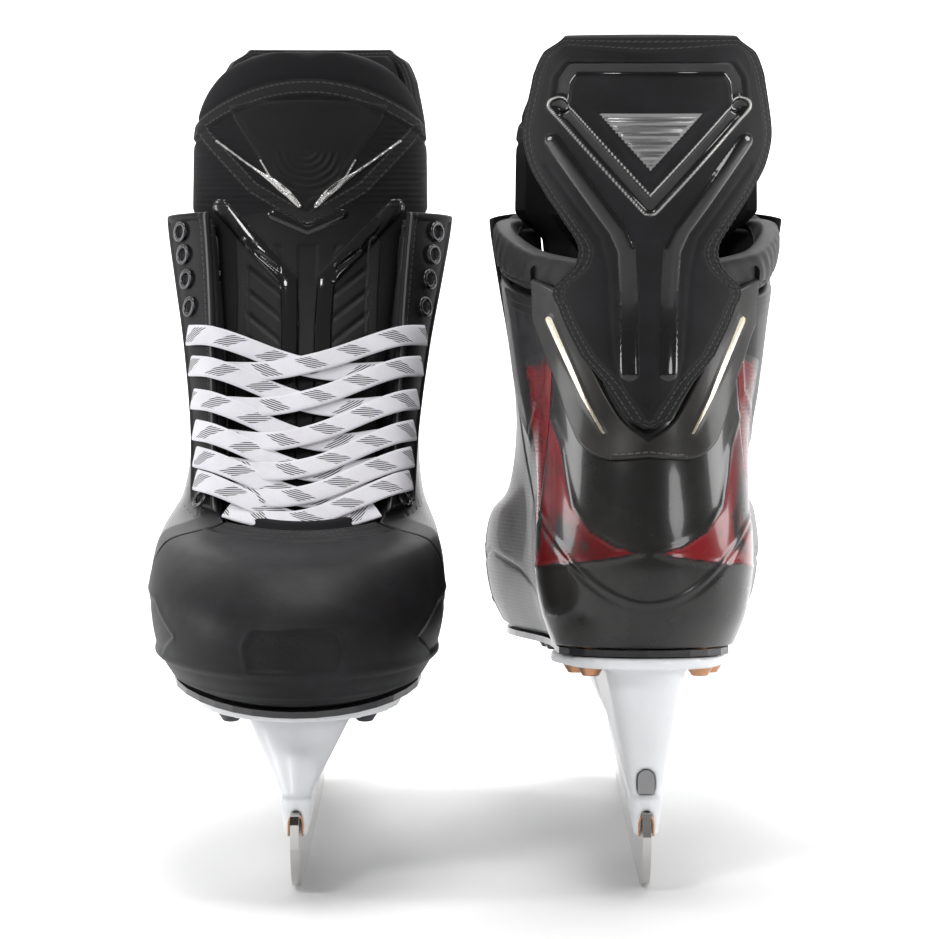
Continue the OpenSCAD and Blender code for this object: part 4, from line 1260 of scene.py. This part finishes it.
# ---------------------------------------------------------------- repeated pieces, by Geometry Nodes
class Nodes:
    """A Geometry Nodes tree with named inputs."""

    def __init__(self, name, inputs):
        self.tree = bpy.data.node_groups.new(name, "GeometryNodeTree")
        face = self.tree.interface
        face.new_socket("Geometry", in_out="INPUT", socket_type="NodeSocketGeometry")
        self.ids = {}
        for key, (kind, value) in inputs.items():
            socket = face.new_socket(key, in_out="INPUT", socket_type=kind)
            if value is not None:
                socket.default_value = value
            self.ids[key] = socket.identifier
        face.new_socket("Geometry", in_out="OUTPUT", socket_type="NodeSocketGeometry")
        self.input = self.tree.nodes.new("NodeGroupInput")
        self.output = self.tree.nodes.new("NodeGroupOutput")

    def add(self, kind, settings=None, **links):
        node = self.tree.nodes.new(kind)
        for key, value in (settings or {}).items():
            setattr(node, key, value)
        for key, value in links.items():
            socket = next(s for s in node.inputs if s.identifier == key or s.name.replace(" ", "_") == key)
            if isinstance(value, bpy.types.NodeSocket):
                self.tree.links.new(value, socket)
            else:
                socket.default_value = value
        return node

    def result(self, socket):
        self.tree.links.new(socket, self.output.inputs[0])


def ring_tree(name, material):
    """Turned rings or heads on points: each is a profile swept round, laid along the point's normal."""
    tree = Nodes(name, {"Outer radius": ("NodeSocketFloat", 0.004), "Hole radius": ("NodeSocketFloat", 0.002),
                        "Height": ("NodeSocketFloat", 0.001)})
    get = {s.name: s for s in tree.input.outputs}
    middle = tree.add("ShaderNodeMath", {"operation": "ADD"}, Value=get["Outer radius"])
    tree.tree.links.new(get["Hole radius"], middle.inputs[1])
    half = tree.add("ShaderNodeMath", {"operation": "MULTIPLY"}, Value=middle.outputs[0])
    half.inputs[1].default_value = 0.5
    width = tree.add("ShaderNodeMath", {"operation": "SUBTRACT"}, Value=get["Outer radius"])
    tree.tree.links.new(get["Hole radius"], width.inputs[1])
    size = tree.add("ShaderNodeMath", {"operation": "MULTIPLY"}, Value=width.outputs[0])
    size.inputs[1].default_value = 0.5
    around = tree.add("GeometryNodeCurvePrimitiveCircle", Resolution=24)
    tree.tree.links.new(half.outputs[0], around.inputs["Radius"])
    profile = tree.add("GeometryNodeCurvePrimitiveCircle", Resolution=10)
    tree.tree.links.new(size.outputs[0], profile.inputs["Radius"])
    ring = tree.add("GeometryNodeCurveToMesh", Curve=around.outputs[0], Profile_Curve=profile.outputs[0])
    flat = tree.add("ShaderNodeCombineXYZ", X=1.0, Y=1.0)
    share = tree.add("ShaderNodeMath", {"operation": "DIVIDE"}, Value=get["Height"])
    tree.tree.links.new(size.outputs[0], share.inputs[1])
    tree.tree.links.new(share.outputs[0], flat.inputs["Z"])
    pressed = tree.add("GeometryNodeTransform", Geometry=ring.outputs[0])
    tree.tree.links.new(flat.outputs[0], pressed.inputs["Scale"])
    normal = tree.add("GeometryNodeInputNamedAttribute", {"data_type": "FLOAT_VECTOR"}, Name="facing")
    aim = tree.add("FunctionNodeAlignRotationToVector", {"axis": "Z"}, Vector=normal.outputs[0])
    put = tree.add("GeometryNodeInstanceOnPoints", Points=tree.input.outputs[0], Instance=pressed.outputs[0])
    tree.tree.links.new(aim.outputs[0], put.inputs["Rotation"])
    real = tree.add("GeometryNodeRealizeInstances", Geometry=put.outputs[0])
    look = tree.add("GeometryNodeSetMaterial", Geometry=real.outputs[0], Material=material)
    smooth_all = tree.add("GeometryNodeSetShadeSmooth", Geometry=look.outputs[0])
    tree.result(smooth_all.outputs[0])
    return tree


def grown(name, side, points, facing, tree, inputs, body="boot", replaces=()):
    """Runs a tree on a cloud of points and keeps the plain mesh that it makes."""
    cloud = bpy.data.meshes.new(f"{side}_{name}_points")
    cloud.from_pydata(placed(points, side).tolist(), [], [])
    away = placed(np.asarray(points) + facing, side) - placed(points, side)
    cloud.attributes.new("facing", "FLOAT_VECTOR", "POINT").data.foreach_set(
        "vector", unit(away).astype(np.float32).ravel())
    carrier = bpy.data.objects.new(f"{side}_{name}_carrier", cloud)
    bpy.context.scene.collection.objects.link(carrier)
    modifier = carrier.modifiers.new("Grow", "NODES")
    modifier.node_group = tree.tree
    for key, value in inputs.items():
        modifier[tree.ids[key]] = value
    bpy.context.view_layer.update()
    view = carrier.evaluated_get(bpy.context.evaluated_depsgraph_get())
    mesh = bpy.data.meshes.new_from_object(view)
    bpy.data.objects.remove(carrier)
    bpy.data.meshes.remove(cloud)
    mesh.name = f"{side}_{name}"
    obj = bpy.data.objects.new(f"{side}_{name}", mesh)
    bpy.context.scene.collection.objects.link(obj)
    finish_piece(obj, side, body, replaces)
    return obj


def make_eyelets(side, tree):
    at, facing = [], []
    for way in (1, -1):
        for i in range(EYELETS):
            v = eyelet_v(i)
            a = way * from_front_edge(v, 9)
            at.append(last(a, v, 2 * GAP + 1.2 + 0.55))
            facing.append(last_normal(a, v))
    sizes = {"Outer radius": 0.004, "Hole radius": 0.0023, "Height": 0.0006}
    grown("eyelet_rings", side, np.array(at), np.array(facing), tree, sizes,
          replaces=["eyelets"])


# ---------------------------------------------------------------- holder, runner and fastenings
FLANGE_DROP = OUTSOLE_T + GAP
HEAD_T = 2.0
# Rivets, each as how far it stands in from the sole's edge, and its y.
RIVETS = {
    "front": [(23.8, 44), (18, 64), (14, 84), (12.5, 105)],
    "rear": [(8.2, -112), (7.7, -92), (7.4, -66)],
}
LOCK_Y, LOCK_Z = -125.5, 40.0
HOLDER_VOXEL = 0.85


def sole_half(y):
    r = RING[0]
    return float(plan_w(r[None, :], np.array([(y / BOOT_LEN - r[2]) / (r[0] - r[2])]))[0])


def on_sole(x, y, z):
    c, s = math.cos(PITCH), math.sin(PITCH)
    return [x, y * c + z * s, (SOLE_TOE_Z + SOLE_HEEL_Z) / 2 - y * s + z * c]


def cad_copy(node, name):
    """A merged copy of a CAD node's mesh, to be rounded."""
    source = frame["nodes"][node]
    work = bmesh.new()
    work.from_mesh(source.data)
    bmesh.ops.remove_doubles(work, verts=work.verts, dist=1e-6)
    mesh = bpy.data.meshes.new(name)
    work.to_mesh(mesh)
    work.free()
    obj = bpy.data.objects.new(name, mesh)
    bpy.context.scene.collection.objects.link(obj)
    return obj


def settled(obj):
    """Turns an object's modifiers into its plain mesh."""
    bpy.context.view_layer.update()
    mesh = bpy.data.meshes.new_from_object(obj.evaluated_get(bpy.context.evaluated_depsgraph_get()))
    obj.modifiers.clear()
    obj.data = mesh
    return obj


def make_holder(side, finish):
    """The holder's solids melted together, with the soft fillets of a moulding."""
    obj = cad_copy(f"{side}_holder", f"{side}_holder_moulding")
    remesh = obj.modifiers.new("Melt", "REMESH")
    remesh.mode, remesh.voxel_size, remesh.use_smooth_shade = "VOXEL", HOLDER_VOXEL * MM, True
    relax = obj.modifiers.new("Fillet", "SMOOTH")
    relax.factor, relax.iterations = 0.5, 7
    settled(obj)
    obj.data.materials.clear()
    obj.data.materials.append(finish)
    finish_piece(obj, side, "boot", ["holder"])


def dress(node, finish, bevel=0.0, segments=2):
    """Keeps a CAD node, with its own finish and softened edges."""
    obj = frame["nodes"][node]
    obj.data.materials.clear()
    obj.data.materials.append(finish)
    if bevel:
        soft = obj.modifiers.new("Soft edges", "BEVEL")
        soft.width, soft.segments, soft.limit_method = bevel * MM, segments, "ANGLE"
        soft.angle_limit, soft.harden_normals = math.radians(35), False


def make_rivet_rims(side, which, tree):
    points = []
    for inset, y in RIVETS[which]:
        for way in (1, -1):
            points.append(on_sole(way * (sole_half(y) - inset), y, -FLANGE_DROP - FLANGE_T - HEAD_T + 0.1))
    down = np.tile(np.array(on_sole(0, 0, -1)) - np.array(on_sole(0, 0, 0)), (len(points), 1))
    sizes = {"Outer radius": 0.0034, "Hole radius": 0.0013, "Height": 0.0012}
    grown(f"{which}_rivet_rims", side, np.array(points), down, tree, sizes)


def make_spring(side, finish):
    turns, radius, wire = 4, 2.3, 0.7
    k = np.linspace(0, 2 * np.pi * turns, 24 * turns + 1)
    y = np.linspace(LOCK_Y + 9.5, LOCK_Y + 28, len(k))
    path = np.stack([radius * np.cos(k), y, LOCK_Z + radius * np.sin(k)], -1)
    shape = strip(path, np.tile([0.0, 1.0, 0.0], (len(k), 1)), wire, wire, 3)
    add_piece("spring_wire", side, shape, finish, replaces=["lock_spring"])


def make_slot_ends(side, finish):
    """Bronze-coloured liners at both ends of the runner's slot."""
    shapes = []
    for y, turn in ((-RAIL_HALF + 0.6, -1), (RAIL_HALF - 0.6, 1)):
        k = np.linspace(0, np.pi, 25)
        x, z = 2.5 * np.cos(k), RAIL_Z + 4.0 + 4.5 * np.sin(k)
        x, z = np.concatenate([[2.5], x, [-2.5]]), np.concatenate([[RAIL_Z + 0.5], z, [RAIL_Z + 0.5]])
        path = np.stack([x, np.full_like(x, y + turn * 0.4), z], -1)
        shapes.append(strip(path, np.tile([0.0, 1.0, 0.0], (len(x), 1)), 1.4, 0.8, 3))
    add_piece("slot_liners", side, joined(shapes), finish)


# ---------------------------------------------------------------- stage
CAMERA_AT = (0.0, -1.5, 0.272)
CAMERA_PITCH = 5.03
CAMERA_LENS = 151.8
LIGHTS = [
    # name, place, aims at, size, power
    ("key", (-0.8, -1.3, 1.3), (0, 0, 0.17), 0.45, 10.0),
    ("fill", (1.0, -1.4, 0.6), (0, 0, 0.15), 0.5, 5.5),
    ("top", (0.0, 0.1, 1.5), (0, 0, 0.1), 0.8, 14.0),
    ("left rim", (-1.2, 0.0, 0.35), (0, 0, 0.15), 0.5, 5.0),
    ("right rim", (1.2, 0.0, 0.35), (0, 0, 0.15), 0.5, 5.0),
    ("wall left", (-1.2, 0.9, 1.6), (-0.4, 3.0, 0.6), 0.8, 60.0),
    ("wall right", (1.2, 0.9, 1.6), (0.4, 3.0, 0.6), 0.8, 60.0),
]


def make_stage(color, backdrop):
    s = Surface("floor")
    cloudy = s.noise(s.spot(), 3.0, 3.0)
    base = s.mix([c * 0.985 for c in color], color, cloudy)
    floor_look = s.finish(Base_Color=base, Roughness=0.5 + 0.1 * cloudy)
    reach, rise, bend = 4.0, 3.0, 0.8
    k = np.linspace(0, np.pi / 2, 17)
    y = np.concatenate([[-reach], 1.6 + bend * np.sin(k), [1.6 + bend]])
    z = np.concatenate([[0], bend * (1 - np.cos(k)), [rise]])
    verts = [(x, float(a), float(b)) for a, b in zip(y, z) for x in (-reach, reach)]
    faces = [(2 * i, 2 * i + 1, 2 * i + 3, 2 * i + 2) for i in range(len(y) - 1)]
    mesh = bpy.data.meshes.new("floor")
    mesh.from_pydata(verts, [], faces)
    mesh.shade_smooth()
    mesh.materials.append(floor_look)
    floor = bpy.data.objects.new("floor", mesh)
    bpy.context.scene.collection.objects.link(floor)
    world = bpy.data.worlds.new("studio")
    world.use_nodes = True
    ground = world.node_tree.nodes["Background"]
    ground.inputs["Color"].default_value = (*backdrop, 1)
    ground.inputs["Strength"].default_value = 0.26
    bpy.context.scene.world = world
    for name, place, aim, size, power in LIGHTS:
        lamp = bpy.data.lights.new(name, "AREA")
        lamp.shape, lamp.size, lamp.energy = "DISK", size, power
        obj = bpy.data.objects.new(name, lamp)
        obj.location = place
        obj.rotation_euler = (Vector(aim) - Vector(place)).to_track_quat("-Z", "Y").to_euler()
        bpy.context.scene.collection.objects.link(obj)
    eye = bpy.data.cameras.new("camera")
    eye.lens, eye.sensor_width, eye.sensor_fit = CAMERA_LENS, 36.0, "HORIZONTAL"
    camera = bpy.data.objects.new("camera", eye)
    camera.location = CAMERA_AT
    camera.rotation_euler = (math.radians(90 - CAMERA_PITCH), 0, 0)
    bpy.context.scene.collection.objects.link(camera)
    bpy.context.scene.camera = camera
    bpy.context.scene.view_settings.view_transform = "Standard"


# ---------------------------------------------------------------- add-on
def tint(name, description, default):
    return FloatVectorProperty(name=name, description=description, default=default, size=3, min=0.0, max=1.0,
                               subtype="COLOR")


class SkateColors(bpy.types.PropertyGroup):
    """Colours of a pair of skates and of the stage."""

    cap: tint("Toe cap", "Colour of the toe cap", (0.0085, 0.0085, 0.0095))
    shell: tint("Shell", "Colour of the quarters", (0.006, 0.006, 0.007))
    heel: tint("Heel", "Smoky colour of the heel shell", (0.010, 0.0095, 0.009))
    red: tint("Heel panels", "Colour of the panels beside the heel", (0.20, 0.005, 0.008))
    band: tint("Band", "Colour of the band round the heel", (0.030, 0.028, 0.026))
    accent: tint("Accent", "Colour of the line on the band", (0.62, 0.55, 0.42))
    guard: tint("Guard", "Colour of the tendon guard", (0.0085, 0.0085, 0.0095))
    tongue: tint("Tongue", "Colour of the tongue's textile", (0.0075, 0.0075, 0.0085))
    facing: tint("Facing", "Colour of the facing beside the lacing", (0.0075, 0.0075, 0.0085))
    lining: tint("Lining", "Colour of the lining", (0.010, 0.010, 0.011))
    collar: tint("Collar", "Colour of the ankle padding", (0.016, 0.016, 0.017))
    footbed: tint("Footbed", "Colour of the footbed", (0.02, 0.02, 0.022))
    lace: tint("Lace", "Colour of the lace", (0.8, 0.79, 0.84))
    fleck: tint("Lace flecks", "Colour of the flecks in the lace", (0.02, 0.02, 0.022))
    holder: tint("Holder", "Colour of the holder", (0.8, 0.81, 0.83))
    steel: tint("Steel", "Colour of the runner", (0.62, 0.61, 0.6))
    copper: tint("Copper", "Colour of the rear rivets", (0.62, 0.33, 0.19))
    floor: tint("Floor", "Colour of the floor", (0.86, 0.86, 0.86))
    backdrop: tint("Backdrop", "Colour of the light round the scene", (1.0, 1.0, 1.0))


class SKATES_OT_toe_cap(bpy.types.Operator):
    """Builds the moulded toe caps."""

    bl_idname = "skates.toe_cap"
    bl_label = "Toe Caps"

    def execute(self, context):
        colors = context.scene.skate_colors
        finish = cap_finish(colors.cap)
        for side in SIDES:
            make_toe_cap(side, finish)
        return {"FINISHED"}


class SKATES_OT_vamps(bpy.types.Operator):
    """Builds the woven vamps under the toe caps."""

    bl_idname = "skates.vamps"
    bl_label = "Vamps"

    def execute(self, context):
        colors = context.scene.skate_colors
        finish = cloth_finish("vamp", colors.facing, 0.9)
        for side in SIDES:
            make_vamp(side, finish)
        return {"FINISHED"}


class SKATES_OT_quarters(bpy.types.Operator):
    """Builds the outer and inner quarters."""

    bl_idname = "skates.quarters"
    bl_label = "Quarters"

    def execute(self, context):
        colors = context.scene.skate_colors
        finish = shell_finish(colors.shell, colors.red)
        for side in SIDES:
            for outer in (True, False):
                make_quarter(side, outer, finish)
        return {"FINISHED"}


class SKATES_OT_heels(bpy.types.Operator):
    """Builds the glossy heel shells and the grey bands on them."""

    bl_idname = "skates.heels"
    bl_label = "Heels"

    def execute(self, context):
        colors = context.scene.skate_colors
        shell = heel_finish(colors.heel, colors.red)
        band = frame_finish(colors.band, colors.accent)
        for side in SIDES:
            make_heel(side, shell)
            make_frame(side, band)
        return {"FINISHED"}


class SKATES_OT_guards(bpy.types.Operator):
    """Builds the tendon guards and their cushions."""

    bl_idname = "skates.guards"
    bl_label = "Tendon Guards"

    def execute(self, context):
        colors = context.scene.skate_colors
        plate = guard_finish(colors.guard)
        cushion = cloth_finish("guard_cushion", colors.lining, 1.2)
        for side in SIDES:
            make_guard(side, plate)
            make_guard_pad(side, cushion)
        return {"FINISHED"}


class SKATES_OT_tongues(bpy.types.Operator):
    """Builds the padded tongues with their plates."""

    bl_idname = "skates.tongues"
    bl_label = "Tongues"

    def execute(self, context):
        colors = context.scene.skate_colors
        finish = tongue_finish(colors.tongue)
        for side in SIDES:
            make_tongue(side, finish)
        return {"FINISHED"}


class SKATES_OT_linings(bpy.types.Operator):
    """Builds the linings, the collar cushions and the insoles."""

    bl_idname = "skates.linings"
    bl_label = "Linings"

    def execute(self, context):
        colors = context.scene.skate_colors
        lining = cloth_finish("lining", colors.lining, 1.4)
        collar = collar_finish(colors.collar)
        felt = cloth_finish("footbed", colors.footbed, 1.8, 0.9)
        for side in SIDES:
            make_liner(side, lining)
            make_footbed(side, felt)
            for outer in (True, False):
                make_collar(side, outer, collar)
        return {"FINISHED"}


class SKATES_OT_facings(bpy.types.Operator):
    """Builds the facings and their eyelets."""

    bl_idname = "skates.facings"
    bl_label = "Facings"

    def execute(self, context):
        colors = context.scene.skate_colors
        facing = facing_finish(colors.facing)
        metal = steel_finish("eyelet_metal", (0.11, 0.11, 0.115), 0.28)
        rings = ring_tree("eyelet ring", metal)
        for side in SIDES:
            make_eyelets(side, rings)
            for outer in (True, False):
                make_eyestay(side, outer, facing)
        return {"FINISHED"}


class SKATES_OT_laces(bpy.types.Operator):
    """Builds the crossed flat laces."""

    bl_idname = "skates.laces"
    bl_label = "Laces"

    def execute(self, context):
        colors = context.scene.skate_colors
        finish = lace_finish(colors.lace, colors.fleck)
        for side in SIDES:
            make_lace(side, finish)
        return {"FINISHED"}


class SKATES_OT_holders(bpy.types.Operator):
    """Builds the soles, the holders and their rivets."""

    bl_idname = "skates.holders"
    bl_label = "Holders"

    def execute(self, context):
        colors = context.scene.skate_colors
        plastic = holder_finish(colors.holder)
        sole = moulded_finish("outsole", (0.02, 0.02, 0.022), 0.3)
        dark = steel_finish("rivet_steel", (0.09, 0.09, 0.095), 0.32)
        copper = steel_finish("rivet_copper", colors.copper, 0.3)
        dark_rims = ring_tree("dark rim", dark)
        copper_rims = ring_tree("copper rim", copper)
        for side in SIDES:
            make_holder(side, plastic)
            make_slot_ends(side, copper)
            dress(f"{side}_outsole", sole, 0.4)
            dress(f"{side}_front_rivets", dark, 0.3)
            dress(f"{side}_rear_rivets", copper, 0.3)
            make_rivet_rims(side, "front", dark_rims)
            make_rivet_rims(side, "rear", copper_rims)
        return {"FINISHED"}


class SKATES_OT_runners(bpy.types.Operator):
    """Finishes the runners and the locks that hold them."""

    bl_idname = "skates.runners"
    bl_label = "Runners"

    def execute(self, context):
        colors = context.scene.skate_colors
        steel = steel_finish("runner_steel", colors.steel, 0.22)
        button = moulded_finish("button_plastic", (0.24, 0.24, 0.245), 0.35)
        wire = steel_finish("spring_steel", (0.4, 0.4, 0.42), 0.3)
        for side in SIDES:
            dress(f"{side}_runner", steel, 0.22)
            dress(f"{side}_lock_button", button, 0.35, 3)
            make_spring(side, wire)
        return {"FINISHED"}


class SKATES_OT_stage(bpy.types.Operator):
    """Sets the floor, the lights and the camera."""

    bl_idname = "skates.stage"
    bl_label = "Stage"

    def execute(self, context):
        colors = context.scene.skate_colors
        make_stage(colors.floor, colors.backdrop)
        return {"FINISHED"}


STEPS = (SKATES_OT_toe_cap, SKATES_OT_vamps, SKATES_OT_quarters,
         SKATES_OT_heels, SKATES_OT_guards, SKATES_OT_tongues, SKATES_OT_linings,
         SKATES_OT_facings, SKATES_OT_laces, SKATES_OT_holders, SKATES_OT_runners,
         SKATES_OT_stage)


class SKATES_PT_steps(bpy.types.Panel):
    """The steps that build the pair, in order."""

    bl_label = "Hockey Skates"
    bl_idname = "SKATES_PT_steps"
    bl_space_type = "VIEW_3D"
    bl_region_type = "UI"
    bl_category = "Skates"

    def draw(self, context):
        for step in STEPS:
            self.layout.operator(step.bl_idname)
        for name in SkateColors.__annotations__:
            self.layout.prop(context.scene.skate_colors, name)


def register():
    for kind in (SkateColors, *STEPS, SKATES_PT_steps):
        bpy.utils.register_class(kind)
    bpy.types.Scene.skate_colors = PointerProperty(type=SkateColors)


def unregister():
    del bpy.types.Scene.skate_colors
    for kind in (SKATES_PT_steps, *reversed(STEPS), SkateColors):
        bpy.utils.unregister_class(kind)


def main():
    register()
    for step in STEPS:
        group, name = step.bl_idname.split(".")
        getattr(getattr(bpy.ops, group), name)()


if __name__ == "__main__":
    main()
